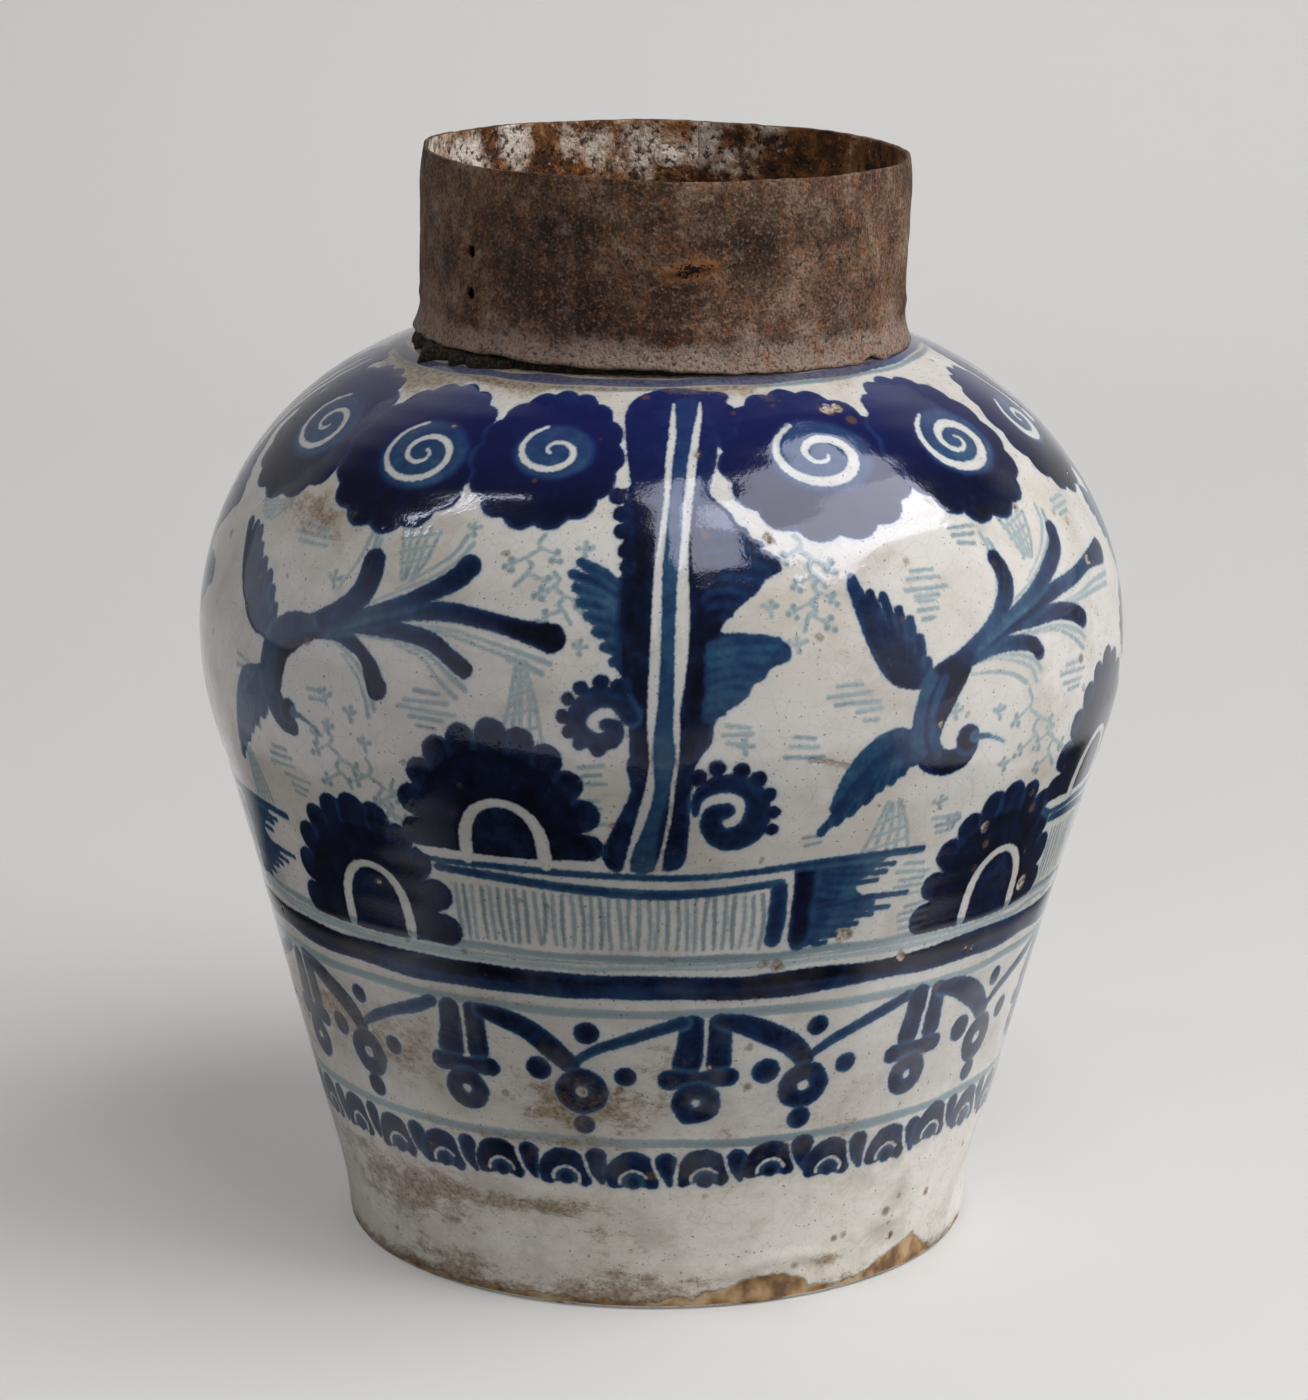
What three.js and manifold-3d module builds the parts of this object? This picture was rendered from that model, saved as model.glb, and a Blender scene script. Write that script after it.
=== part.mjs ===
// A storage jar for chocolate: a thrown, tin-glazed earthenware jar whose neck wears a collar of sheet iron.
// The collar is one strip bent into a ring, lapped and riveted at the back, and it is bedded on the neck in pitch.
// Millimetres, +Z up. The origin is the centre of the foot, on the surface that the jar stands on. -Y is the front.
import * as THREE from "three";
import { mergeVertices } from "three/addons/utils/BufferGeometryUtils.js";
import Module from "manifold-3d";

// Jar: outer shape
const footRadius = 110.5;
const footEdge = 1.5; // bevel where the glaze was wiped from the foot
const footHeight = 38; // height at which the upright foot has turned into the straight flank
const footSpread = 6.5; // how far the wall has spread out there
const bellyRadius = 161.3;
const bellyHeight = 214;
const bellyDrop = 54; // depth below the belly at which the flank ends and the belly starts to turn
const bellyInset = 11.3; // how far inside the belly the wall is there
const shoulderWidth = 111.3; // half axes of the ellipse that the shoulder follows
const shoulderRise = 107.3;
const neckRadius = 77.5;
const neckLip = 3; // radius of the rounded top of the neck

// Jar: wall and base
const wall = 9;
const baseThickness = 12;
const baseRecess = 3; // the hollow under the base
const restingRing = 24; // width of the flat ring that the jar stands on

// Iron collar, measured in its own frame from the middle of its lower edge
const sheet = 1.6;
const pitchThickness = 4.9; // between the neck and the collar
const collarHeight = 62;
const rimDrawIn = 0.8; // how much the sheet draws in at the rim
const rimDrawHeight = 13;
const flare = 2.4; // how far the lower edge is turned out
const flareHeight = 9.5;
const collarLift = 2.4; // from the shoulder up to the middle of the collar's lower edge
const collarOffset = 2.3; // the collar sits a little to the right of the jar's axis
const collarTilt = 1.2; // degrees that it leans to the right
const neckBelowRim = 24.6; // the neck ends this far below the collar's rim

// Lap seam at the back, with its rivets
const lapLength = 24;
const joggleLength = 12;
const lapGap = 0.3;
const rivetCount = 3;
const rivetEdge = 13; // from the collar's upper and lower edges to the outer rivets
const rivetShank = 2; // radius
const rivetHead = 4.2; // radius
const rivetHeadRise = 1.5;

// Two empty holes at the left of the front, where a fitting was riveted that is gone
const lockHoleRadius = 2.2;
const lockHoleAngle = -50; // degrees from the front, to the left
const lockHoleMiddle = 26.5; // height of the point between them
const lockHoleSpacing = 14;

// Pitch that beds the collar
const pitchBelowCollar = 1.1; // how far it squeezes out under the collar's lower edge
const pitchAboveNeck = 2;
const pitchSkirt = 1.2; // how far it stands out past the collar's inner wall, below the edge

const clearance = 0.3; // between separate solids
const turns = 64; // facets round the jar
const drillReach = 12; // how far a drill passes the collar's wall on each side
const backAngle = 90; // degrees, +Y

const wasm = await Module();
wasm.setup();

const radians = THREE.MathUtils.degToRad;
const at = (radius, height) => new THREE.Vector2(radius, height);

// A solid of manifold-3d from a closed geometry, and back again.
function toSolid(geometry) {
  const bare = geometry.index ? geometry.toNonIndexed() : geometry.clone();
  bare.deleteAttribute("normal");
  bare.deleteAttribute("uv");
  const merged = mergeVertices(bare, 1e-4);
  return new wasm.Manifold(
    new wasm.Mesh({
      numProp: 3,
      vertProperties: new Float32Array(merged.attributes.position.array),
      triVerts: new Uint32Array(merged.index.array),
    }),
  );
}

function toGeometry(solid) {
  const mesh = solid.getMesh();
  const geometry = new THREE.BufferGeometry();
  geometry.setAttribute("position", new THREE.BufferAttribute(mesh.vertProperties, 3));
  geometry.setIndex(new THREE.BufferAttribute(mesh.triVerts, 1));
  return geometry;
}

// A solid of revolution about +Z from (radius, height) points that start and end on the axis, or close on
// themselves, and run round the material anticlockwise.
function revolve(profile, segments = turns) {
  const lathe = new THREE.LatheGeometry(profile, segments);
  lathe.rotateX(Math.PI / 2);
  return lathe;
}

// The outer wall, from the foot to the root of the neck
const flankTop = at(bellyRadius - bellyInset, bellyHeight - bellyDrop);
const flankFoot = at(footRadius + footSpread, footHeight);
const flankSlope = (flankTop.x - flankFoot.x) / (flankTop.y - flankFoot.y);
const shoulderCentre = bellyRadius - shoulderWidth;

function shoulderHeightAt(radius) {
  const share = (radius - shoulderCentre) / shoulderWidth;
  return bellyHeight + shoulderRise * Math.sqrt(1 - share * share);
}

function outerWall() {
  const path = new THREE.Path();
  const footTurn = footHeight / 2;
  const bellyTurn = bellyDrop * 0.42;
  path.moveTo(footRadius, footEdge);
  path.bezierCurveTo(
    footRadius, footTurn / 2,
    flankFoot.x - flankSlope * footTurn, footTurn,
    flankFoot.x, flankFoot.y,
  );
  path.lineTo(flankTop.x, flankTop.y);
  path.bezierCurveTo(
    flankTop.x + flankSlope * bellyTurn, flankTop.y + bellyTurn,
    bellyRadius, bellyHeight - bellyTurn,
    bellyRadius, bellyHeight,
  );
  const last = Math.acos((neckRadius - shoulderCentre) / shoulderWidth);
  path.absellipse(shoulderCentre, bellyHeight, shoulderWidth, shoulderRise, 0, last, false, 0);
  return path;
}

// Points along a path, without the repeats that joined curves leave.
function pointsAlong(path, divisions) {
  return path.getPoints(divisions).filter((p, i, all) => i === 0 || p.distanceTo(all[i - 1]) > 0.5);
}

// The inner wall: the outer wall moved in by the wall's thickness, square to it.
function innerWall(line) {
  return line.map((point, i) => {
    const before = line[Math.max(i - 1, 0)];
    const after = line[Math.min(i + 1, line.length - 1)];
    const along = after.clone().sub(before).normalize();
    return at(point.x - along.y * wall, point.y + along.x * wall);
  });
}

// Points of an arc from one direction to another, in degrees.
function arc(x, y, radius, from, to, steps = 3) {
  return Array.from({ length: steps + 1 }, (_, i) => {
    const angle = radians(from + ((to - from) * i) / steps);
    return at(x + radius * Math.cos(angle), y + radius * Math.sin(angle));
  });
}

const collarRadius = neckRadius + pitchThickness + sheet;
const collarBottom = shoulderHeightAt(collarRadius) + collarLift;
const neckTop = collarBottom + collarHeight - neckBelowRim;
const outer = pointsAlong(outerWall(), 6);
const neckRoot = outer.at(-1).y;
const neckInner = neckRadius - wall;

function jarBody() {
  const ringInner = footRadius - footEdge - restingRing;
  const shoulderInside = neckRoot - wall / 2;
  const inner = innerWall(pointsAlong(outerWall(), 3)).filter(
    (p) => p.y > 2 * baseThickness && p.y < shoulderInside && p.x > neckInner + clearance,
  );
  const profile = [
    at(0, baseRecess),
    at(ringInner - baseRecess, baseRecess),
    at(ringInner, 0),
    at(footRadius - footEdge, 0),
    ...outer,
    ...arc(neckRadius - neckLip, neckTop - neckLip, neckLip, 0, 90),
    ...arc(neckInner + neckLip, neckTop - neckLip, neckLip, 90, 180),
    at(neckInner, shoulderInside),
    ...inner.reverse(),
    at(footRadius - 2 * wall, baseThickness),
    at(0, baseThickness),
  ];
  return revolve(profile);
}

// The collar's outer radius at a height above its lower edge.
function collarRadiusAt(height) {
  const out = flare * Math.max(0, 1 - height / flareHeight) ** 2;
  const drawn = Math.max(0, height - (collarHeight - rimDrawHeight)) / rimDrawHeight;
  return collarRadius + out - rimDrawIn * drawn * drawn;
}

const flareLevels = [0, 0.3, 0.65, 1].map((share) => share * flareHeight);
const rimLevels = [0, 0.55, 1].map((share) => collarHeight - rimDrawHeight * (1 - share));
const collarLevels = [...flareLevels, ...rimLevels];

// The strip's section where it stands out by a distance: up its outer side and down its inner side.
function stripSection(out) {
  const outside = collarLevels.map((height) => at(collarRadiusAt(height) + out, height));
  const inside = outside.map((point) => at(point.x - sheet, point.y));
  return [...outside, ...inside.reverse()];
}

// A closed body swept round +Z: sections at rising angles, with a cap of quads at each end.
function sweep(angles, sectionAt) {
  const sections = angles.map(sectionAt);
  const count = sections[0].length;
  const places = sections.flatMap((section, i) =>
    section.flatMap((p) => [p.x * Math.cos(angles[i]), p.x * Math.sin(angles[i]), p.y]),
  );
  const faces = [];
  for (let i = 0; i + 1 < sections.length; i++)
    for (let j = 0; j < count; j++) {
      const a = i * count + j;
      const b = i * count + ((j + 1) % count);
      faces.push(a, a + count, b + count, a, b + count, b);
    }
  const end = (sections.length - 1) * count;
  for (let j = 0; j < count / 2 - 1; j++) {
    const [a, b, c, d] = [j, j + 1, count - 2 - j, count - 1 - j];
    faces.push(a, b, c, a, c, d);
    faces.push(end + a, end + c, end + b, end + a, end + d, end + c);
  }
  const geometry = new THREE.BufferGeometry();
  geometry.setAttribute("position", new THREE.Float32BufferAttribute(places, 3));
  geometry.setIndex(faces);
  return geometry;
}

// A drill along a radius at an angle and a height in the collar's frame, from a depth inside the wall outwards.
function drill(radius, angle, height, from = collarRadius - drillReach) {
  const length = collarRadius + drillReach - from;
  const cylinder = new THREE.CylinderGeometry(radius, radius, length, 16);
  cylinder.rotateZ(Math.PI / 2);
  cylinder.translate(from + length / 2, 0, height);
  cylinder.rotateZ(angle);
  return cylinder;
}

const lapAngle = lapLength / collarRadius;
const joggleAngle = joggleLength / collarRadius;
const seamAngle = radians(backAngle);
const lapStep = sheet + lapGap;
const rivetHeights = Array.from(
  { length: rivetCount },
  (_, i) => rivetEdge + ((collarHeight - 2 * rivetEdge) * i) / (rivetCount - 1),
);

function ironCollar() {
  const start = seamAngle - lapAngle / 2;
  const full = start + 2 * Math.PI;
  const joggleStart = full - joggleAngle;
  const plain = Array.from({ length: turns }, (_, i) => start + ((joggleStart - start) * i) / turns);
  const joggle = [0, 0.25, 0.5, 0.75, 1].map((share) => joggleStart + joggleAngle * share);
  const lap = [0.33, 0.66, 1].map((share) => full + lapAngle * share);
  const standOut = (angle) => lapStep * THREE.MathUtils.smoothstep(angle, joggleStart, full);
  let strip = toSolid(sweep([...plain, ...joggle, ...lap], (angle) => stripSection(standOut(angle))));
  const lockAngle = radians(lockHoleAngle - backAngle);
  const holes = [
    ...[-0.5, 0.5].map((side) =>
      drill(lockHoleRadius, lockAngle, lockHoleMiddle + side * lockHoleSpacing),
    ),
    ...rivetHeights.map((height) => drill(rivetShank + clearance, seamAngle, height)),
  ];
  for (const hole of holes) strip = strip.subtract(toSolid(hole));
  return toGeometry(strip);
}

// A rivet across both layers of the lap: a shank between two low domed heads, made along +Z.
function rivet() {
  const grip = 2 * sheet + lapGap + 2 * clearance;
  const dome = [60, 30, 0].map((angle) => [
    rivetHead * Math.cos(radians(angle)),
    grip / 2 + rivetHeadRise * Math.sin(radians(angle)),
  ]);
  const top = grip / 2 + rivetHeadRise;
  const profile = [
    at(0, -top),
    ...dome.map(([radius, height]) => at(radius, -height)),
    at(rivetShank, -grip / 2),
    at(rivetShank, grip / 2),
    ...dome.reverse().map(([radius, height]) => at(radius, height)),
    at(0, top),
  ];
  return revolve(profile, 16);
}

// Puts an object made in the collar's frame in its place on the jar.
function placeOnNeck(object) {
  object.position.set(collarOffset, 0, collarBottom);
  object.rotation.y = radians(collarTilt);
  object.updateMatrix();
  return object;
}

// The ring of pitch: all that is inside the collar and outside the neck, from the shoulder to above the neck's
// top, with a pocket for each rivet's inner head. The collar leans, so the ring is cut in the jar's frame.
function pitchBedding() {
  const onNeck = placeOnNeck(new THREE.Group()).matrix;
  const top = neckTop + pitchAboveNeck - collarBottom;
  const inside = collarRadius - sheet - clearance;
  const deepest = -collarLift - flareHeight;
  const plug = revolve([
    at(0, deepest),
    at(inside + pitchSkirt, deepest),
    at(inside + pitchSkirt, -pitchBelowCollar),
    at(inside, pitchBelowCollar),
    at(inside, top),
    at(0, top),
  ]);
  const core = revolve([
    at(0, neckRoot - shoulderRise),
    ...outer.filter((p) => p.y > bellyHeight).map((p) => at(p.x + clearance, p.y + clearance)),
    at(neckRadius + clearance, neckTop + collarHeight),
    at(0, neckTop + collarHeight),
  ]);
  const headFace = collarRadius - sheet - 2 * clearance - rivetHeadRise;
  let ring = toSolid(plug.applyMatrix4(onNeck)).subtract(toSolid(core));
  for (const height of rivetHeights) {
    const pocket = drill(rivetHead + clearance, seamAngle, height, headFace);
    ring = ring.subtract(toSolid(pocket.applyMatrix4(onNeck)));
  }
  return toGeometry(ring);
}

const glaze = new THREE.MeshStandardMaterial({ color: 0xd8d4cb, roughness: 0.22, metalness: 0 });
const iron = new THREE.MeshStandardMaterial({ color: 0x5b4a40, roughness: 0.85, metalness: 0.3 });
const pitch = new THREE.MeshStandardMaterial({ color: 0x1d1a17, roughness: 0.7, metalness: 0 });

function piece(name, geometry, material) {
  const mesh = new THREE.Mesh(geometry, material);
  mesh.name = name;
  return mesh;
}

const jar = new THREE.Group();
jar.add(piece("jar_body", jarBody(), glaze));
jar.add(piece("pitch_bedding", pitchBedding(), pitch));

const collar = placeOnNeck(new THREE.Group());
collar.add(piece("iron_collar", ironCollar(), iron));
rivetHeights.forEach((height, i) => {
  const one = piece(`seam_rivet_${i + 1}`, rivet(), iron);
  one.rotation.x = -Math.PI / 2;
  one.position.set(0, collarRadius + lapGap / 2, height);
  collar.add(one);
});
jar.add(collar);

export default jar;
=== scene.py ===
# A storage jar for chocolate: tin-glazed earthenware painted in cobalt, with a collar of rusted sheet iron.
# Blender places are metres in the CAD model's frame. Sizes in the dictionaries are millimetres and degrees.
# The jar's wall is one grid: columns are degrees round the jar, from the front (-Y) towards the right (+X),
# and rows are millimetres along the wall, up from the foot. The painting is laid on the same grid, stroke by
# stroke, as depths in millimetres: how far each grid point lies inside the edge of the paint.
import bpy
import numpy as np
from mathutils import Euler, Matrix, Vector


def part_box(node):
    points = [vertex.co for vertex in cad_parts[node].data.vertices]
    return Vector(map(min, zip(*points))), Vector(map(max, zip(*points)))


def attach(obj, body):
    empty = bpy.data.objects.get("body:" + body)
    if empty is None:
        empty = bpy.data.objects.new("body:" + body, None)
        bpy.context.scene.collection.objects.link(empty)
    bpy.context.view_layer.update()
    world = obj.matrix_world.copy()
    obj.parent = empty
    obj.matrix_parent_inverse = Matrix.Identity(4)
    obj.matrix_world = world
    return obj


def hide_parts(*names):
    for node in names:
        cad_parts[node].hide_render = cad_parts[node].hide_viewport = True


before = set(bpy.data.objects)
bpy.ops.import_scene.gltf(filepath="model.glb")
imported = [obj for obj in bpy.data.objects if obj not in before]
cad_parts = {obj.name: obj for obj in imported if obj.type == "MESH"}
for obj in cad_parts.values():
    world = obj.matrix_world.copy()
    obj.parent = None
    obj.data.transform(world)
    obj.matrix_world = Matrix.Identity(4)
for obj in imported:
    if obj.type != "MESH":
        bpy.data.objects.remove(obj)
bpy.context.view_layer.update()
mm = 0.001
degree = np.pi / 180
dice = np.random.default_rng(5)
collection = bpy.context.scene.collection


# Small helpers

def smooth(value, low, high):  # 0 below low, 1 above high, with a soft start and end
    share = np.clip((value - low) / (high - low), 0, 1)
    return share * share * (3 - 2 * share)


def swell(places, size, seed, waves=9):  # smooth lumps, -1 to 1: a sum of sine waves in random directions
    seeded = np.random.default_rng(seed)
    total = 0
    for _ in range(waves):
        way = seeded.normal(size=3)
        way *= 2 * np.pi / (size * np.linalg.norm(way) * seeded.uniform(0.7, 1.5))
        total = total + np.sin(places @ way + seeded.uniform(0, 2 * np.pi))
    return total / np.sqrt(waves * 2)


def linear(hexColour):  # an sRGB hex colour as linear red, green, blue and alpha
    parts = np.array([int(hexColour[i:i + 2], 16) for i in (1, 3, 5)]) / 255
    low, high = parts / 12.92, ((parts + 0.055) / 1.055) ** 2.4
    return (*np.where(parts <= 0.04045, low, high), 1.0)


# Adds a node, sets it, and links or fills its sockets
def add(tree, kind, links=None, stops=None, **settings):
    made = tree.nodes.new("ShaderNode" + kind)
    for name, value in settings.items():
        setattr(made, name, value)
    if stops:
        elements = made.color_ramp.elements
        while len(elements) < len(stops):
            elements.new(1.0)
        for element, (place, colour) in zip(elements, stops):
            element.position, element.color = place, linear(colour)
    for socket, source in (links or {}).items():
        if isinstance(source, bpy.types.NodeSocket):
            tree.links.new(source, made.inputs[socket])
        else:
            made.inputs[socket].default_value = source
    return made


def newMaterial(name):  # a material with only an output and a principled shader
    material = bpy.data.materials.new(name)
    material.use_nodes = True
    tree = material.node_tree
    tree.nodes.clear()
    shader = add(tree, "BsdfPrincipled")
    add(tree, "OutputMaterial", {"Surface": shader.outputs["BSDF"]})
    return material, tree, shader


def finishPiece(mesh, material, replaced):
    piece = bpy.data.objects.new(mesh.name, mesh)
    collection.objects.link(piece)
    for one in material if isinstance(material, tuple) else (material,):
        mesh.materials.append(one)
    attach(piece, "root")
    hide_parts(*replaced)
    return piece


# A mesh from a grid of places [row, column, xyz] in millimetres. Rows run up and columns run to the right
# when the surface is seen from outside, so that faces point out. A closed grid joins its last column to its
# first. Rows named in cap are closed with one many-sided face.
def gridMesh(name, places, closed=True, keep=None, fields=None, normals=None, folds=0, cap=()):
    rowCount, columnCount = places.shape[:2]
    number = np.arange(rowCount * columnCount).reshape(rowCount, columnCount)
    right = np.roll(number, -1, 1) if closed else number[:, 1:]
    left = number if closed else number[:, :-1]
    quads = np.stack([left[:-1], right[:-1], right[1:], left[1:]], -1)
    used = np.ones(quads.shape[:2], bool) if keep is None else keep
    lids = [number[0][::-1] if row == 0 else number[row] for row in cap]
    corners = np.concatenate([quads[used].ravel(), *lids]).astype(np.int32)
    counts = np.array([4] * int(used.sum()) + [len(lid) for lid in lids])
    mesh = bpy.data.meshes.new(name)
    mesh.vertices.add(rowCount * columnCount)
    mesh.vertices.foreach_set("co", (places * mm).astype(np.float32).ravel())
    mesh.loops.add(len(corners))
    mesh.loops.foreach_set("vertex_index", corners)
    mesh.polygons.add(len(counts))
    mesh.polygons.foreach_set("loop_start", (np.cumsum(counts) - counts).astype(np.int32))
    mesh.polygons.foreach_set("use_smooth", np.ones(len(counts), bool))
    for field, values in (fields or {}).items():
        layer = mesh.attributes.new(field, "FLOAT", "POINT")
        layer.data.foreach_set("value", values.astype(np.float32).ravel())
    if folds:  # a map of its own for baking: the ring is cut into equal stretches, laid one above the other
        perFold = -(-columnCount // folds)
        row, column = np.indices(quads.shape[:2])
        fold, across = column // perFold, column % perFold
        u = np.stack([across, across + 1, across + 1, across], -1)[used] / perFold
        v = np.stack([row, row, row + 1, row + 1], -1)[used] / (rowCount - 1)
        corner = np.stack([0.01 + 0.98 * u, (fold[used][:, None] + 0.02 + 0.96 * v) / folds], -1)
        layer = mesh.uv_layers.new(name="OFBake")
        layer.uv.foreach_set("vector", corner.astype(np.float32).ravel())
    mesh.update()
    mesh.validate()
    if normals is not None:
        mesh.normals_split_custom_set_from_vertices(normals.reshape(-1, 3).tolist())
    return mesh


def gridNormals(places, closed=True):  # outward normals of a grid, from the steps along its rows and columns
    across = np.roll(places, -1, 1) - np.roll(places, 1, 1) if closed else np.gradient(places, axis=1)
    up = np.gradient(places, axis=0)
    normal = np.cross(across, up)
    return normal / np.maximum(np.linalg.norm(normal, axis=-1, keepdims=True), 1e-9)


# The jar's wall

jarLow, jarHigh = (np.array(corner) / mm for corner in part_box("jar_body"))
jar = dict(
    bellyRadius=(jarHigh[0] - jarLow[0]) / 2, neckTop=jarHigh[2],
    footRadius=110.5, footEdge=1.5, footHeight=38, footSpread=6.5,
    bellyHeight=214, bellyDrop=54, bellyInset=11.3,
    shoulderWidth=111.3, shoulderRise=107.3, neckRadius=77.5, neckLip=3,
    wall=9, baseThickness=12, baseRecess=3, restingRing=24,
    columns=1152, fineStep=0.8, coarseStep=1.3, fineFrom=40, fineTo=352,
)


def bezier(a, b, c, d, count=60):  # a cubic curve from a to d with handles b and c
    t = np.linspace(0, 1, count)[:, None]
    a, b, c, d = (np.array(point, float) for point in (a, b, c, d))
    return (1 - t) ** 3 * a + 3 * (1 - t) ** 2 * t * b + 3 * (1 - t) * t * t * c + t ** 3 * d


# (radius, height) up the wall: foot curve, straight flank, belly curve, shoulder ellipse
def outerProfile(size):
    foot = (size["footRadius"] + size["footSpread"], size["footHeight"])
    top = (size["bellyRadius"] - size["bellyInset"], size["bellyHeight"] - size["bellyDrop"])
    lean = (top[0] - foot[0]) / (top[1] - foot[1])
    turn, rise = size["footHeight"] / 2, size["bellyDrop"] * 0.42
    start = (size["footRadius"], size["footEdge"])
    bellyPoint = (size["bellyRadius"], size["bellyHeight"])
    centre = size["bellyRadius"] - size["shoulderWidth"]
    end = np.arccos((size["neckRadius"] - centre) / size["shoulderWidth"])
    angle = np.linspace(0, end, 300)[1:, None]
    return np.vstack([
        bezier(start, (size["footRadius"], turn / 2), (foot[0] - lean * turn, turn), foot),
        bezier(top, (top[0] + lean * rise, top[1] + rise), (bellyPoint[0], bellyPoint[1] - rise), bellyPoint),
        np.hstack([centre + size["shoulderWidth"] * np.cos(angle),
                   size["bellyHeight"] + size["shoulderRise"] * np.sin(angle)]),
    ])


profile = outerProfile(jar)
along = np.r_[0, np.cumsum(np.hypot(*np.diff(profile, axis=0).T))]
slope = np.gradient(profile, along, axis=0)
rows = np.unique(np.round(np.r_[
    np.arange(0, jar["fineFrom"], jar["coarseStep"]),
    np.arange(jar["fineFrom"], jar["fineTo"], jar["fineStep"]),
    np.linspace(jar["fineTo"], along[-1], 9),
], 4))
columnStep = 360 / jar["columns"]
columns = np.arange(jar["columns"]) * columnStep
rowRadius, rowHeight = (np.interp(rows, along, profile[:, i]) for i in (0, 1))
rowSlope = np.stack([np.interp(rows, along, slope[:, i]) for i in (0, 1)], -1)
rowSlope /= np.linalg.norm(rowSlope, axis=1, keepdims=True)
ringX, ringY = np.sin(columns * degree), -np.cos(columns * degree)


def millimetresPerDegree(arc):
    return np.interp(arc, along, profile[:, 0]) * degree


# The painting

paper = {name: np.full((len(rows), len(columns)), -9.0) for name in ("cobalt", "wash", "bare")}
tones = {name: np.zeros((len(rows), len(columns))) for name in paper}


def curve(points, steps, closed=False):  # a smooth line through points (degree, mm up, half width, tone)
    if len(points) < 2:
        return np.vstack([points, points])
    if closed:
        ends = np.vstack([points[-1:], points, points[:2]])
    else:
        ends = np.vstack([2 * points[0] - points[1], points, 2 * points[-1] - points[-2]])
    t = np.linspace(0, 1, steps, endpoint=False)[:, None]
    spans = [
        0.5 * (2 * b + (c - a) * t + (2 * a - 5 * b + 4 * c - d) * t ** 2 + (3 * b - a - 3 * c + d) * t ** 3)
        for a, b, c, d in zip(ends, ends[1:], ends[2:], ends[3:])
    ]
    return np.vstack(spans + [ends[-2:-1]])


# The grid points near a brushed line: their rows, their columns, how deep each lies inside the line, and the
# line's tone there. The depth is the half width less the distance, for the nearest straight bit of the line.
def reach(line, margin=3.5):
    start, end = line[:-1], line[1:]
    scale = millimetresPerDegree((start[:, 1] + end[:, 1]) / 2)[:, None, None]
    edge = line[:, 2].max() + margin
    first, last = np.searchsorted(rows, [line[:, 1].min() - edge, line[:, 1].max() + edge])
    side = edge / scale.min()
    left = int(np.floor((line[:, 0].min() - side) / columnStep))
    right = int(np.ceil((line[:, 0].max() + side) / columnStep)) + 1
    across = np.arange(left, right)
    x = (across * columnStep - start[:, 0, None, None]) * scale
    y = rows[None, first:last, None] - start[:, 1, None, None]
    toX = (end[:, 0] - start[:, 0])[:, None, None] * scale
    toY = (end[:, 1] - start[:, 1])[:, None, None]
    share = np.clip((x * toX + y * toY) / np.maximum(toX ** 2 + toY ** 2, 1e-9), 0, 1)
    width = start[:, 2, None, None] * (1 - share) + end[:, 2, None, None] * share
    depth = width - np.hypot(x - share * toX, y - share * toY)
    best = depth.argmax(0)[None]
    tone = start[:, 3, None, None] * (1 - share) + end[:, 3, None, None] * share
    pick = [np.take_along_axis(values, best, 0)[0] for values in (depth, tone)]
    return np.ix_(np.arange(first, last), across % len(columns)), *pick, across * columnStep


def lay(layer, where, depth, tone, rim=0.6, over=1.0):  # joins a painted shape to a layer, lighter at its rim
    paper[layer][where] = np.maximum(paper[layer][where], depth)
    inked = tone * (rim + (1 - rim) * smooth(depth, -0.2, 2.3))
    share = smooth(depth, -1.6, -0.3) * over
    tones[layer][where] = tones[layer][where] * (1 - share) + inked * share


def brush(points, tone=0.9, layer="cobalt", turn=0, steps=4, rim=0.55, shake=1.0, over=1.0):
    toned = np.array([(*point, tone) if len(point) == 3 else point for point in points], float)
    toned[:, 0] += turn + dice.normal(0, 0.10 * shake, len(toned))
    toned[:, 1] += dice.normal(0, 0.25 * shake, len(toned))
    toned[:, 2] *= 1 + dice.normal(0, 0.05 * shake, len(toned))
    where, depth, inked, _ = reach(curve(toned, steps))
    lay(layer, where, depth, inked, rim, over)


# Paints the inside of a smooth closed outline. A point is inside when the outline crosses its level an odd
# number of times on its right.
def fill(outline, tone=0.85, turn=0, steps=4, rim=0.7, over=1.0, layer="cobalt"):
    points = np.array([(degrees + turn, arc, 0, tone) for degrees, arc in outline], float)
    points[:, :2] += dice.normal(0, 1, (len(points), 2)) * [0.07, 0.2]
    line = curve(points, steps, closed=True)
    where, depth, inked, across = reach(line)
    level = rows[where[0].ravel()]
    start, end = line[:-1, :2, None], line[1:, :2, None]
    crossed = (start[:, 1] > level) != (end[:, 1] > level)
    rise = np.where(crossed, end[:, 1] - start[:, 1], 1)
    meets = start[:, 0] + (end[:, 0] - start[:, 0]) * (level - start[:, 1]) / rise
    inner = (crossed[..., None] & (across < meets[..., None])).sum(0) % 2 == 1
    lay(layer, where, np.where(inner, -depth, depth), inked, rim, over)


def scrape(points, turn=0, steps=4):  # leaves a line of bare white in the cobalt
    toned = np.array([(*point, 0) for point in points], float)
    toned[:, 0] += turn
    where, depth, *_ = reach(curve(toned, steps))
    paper["cobalt"][where] = np.minimum(paper["cobalt"][where], -depth)


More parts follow.
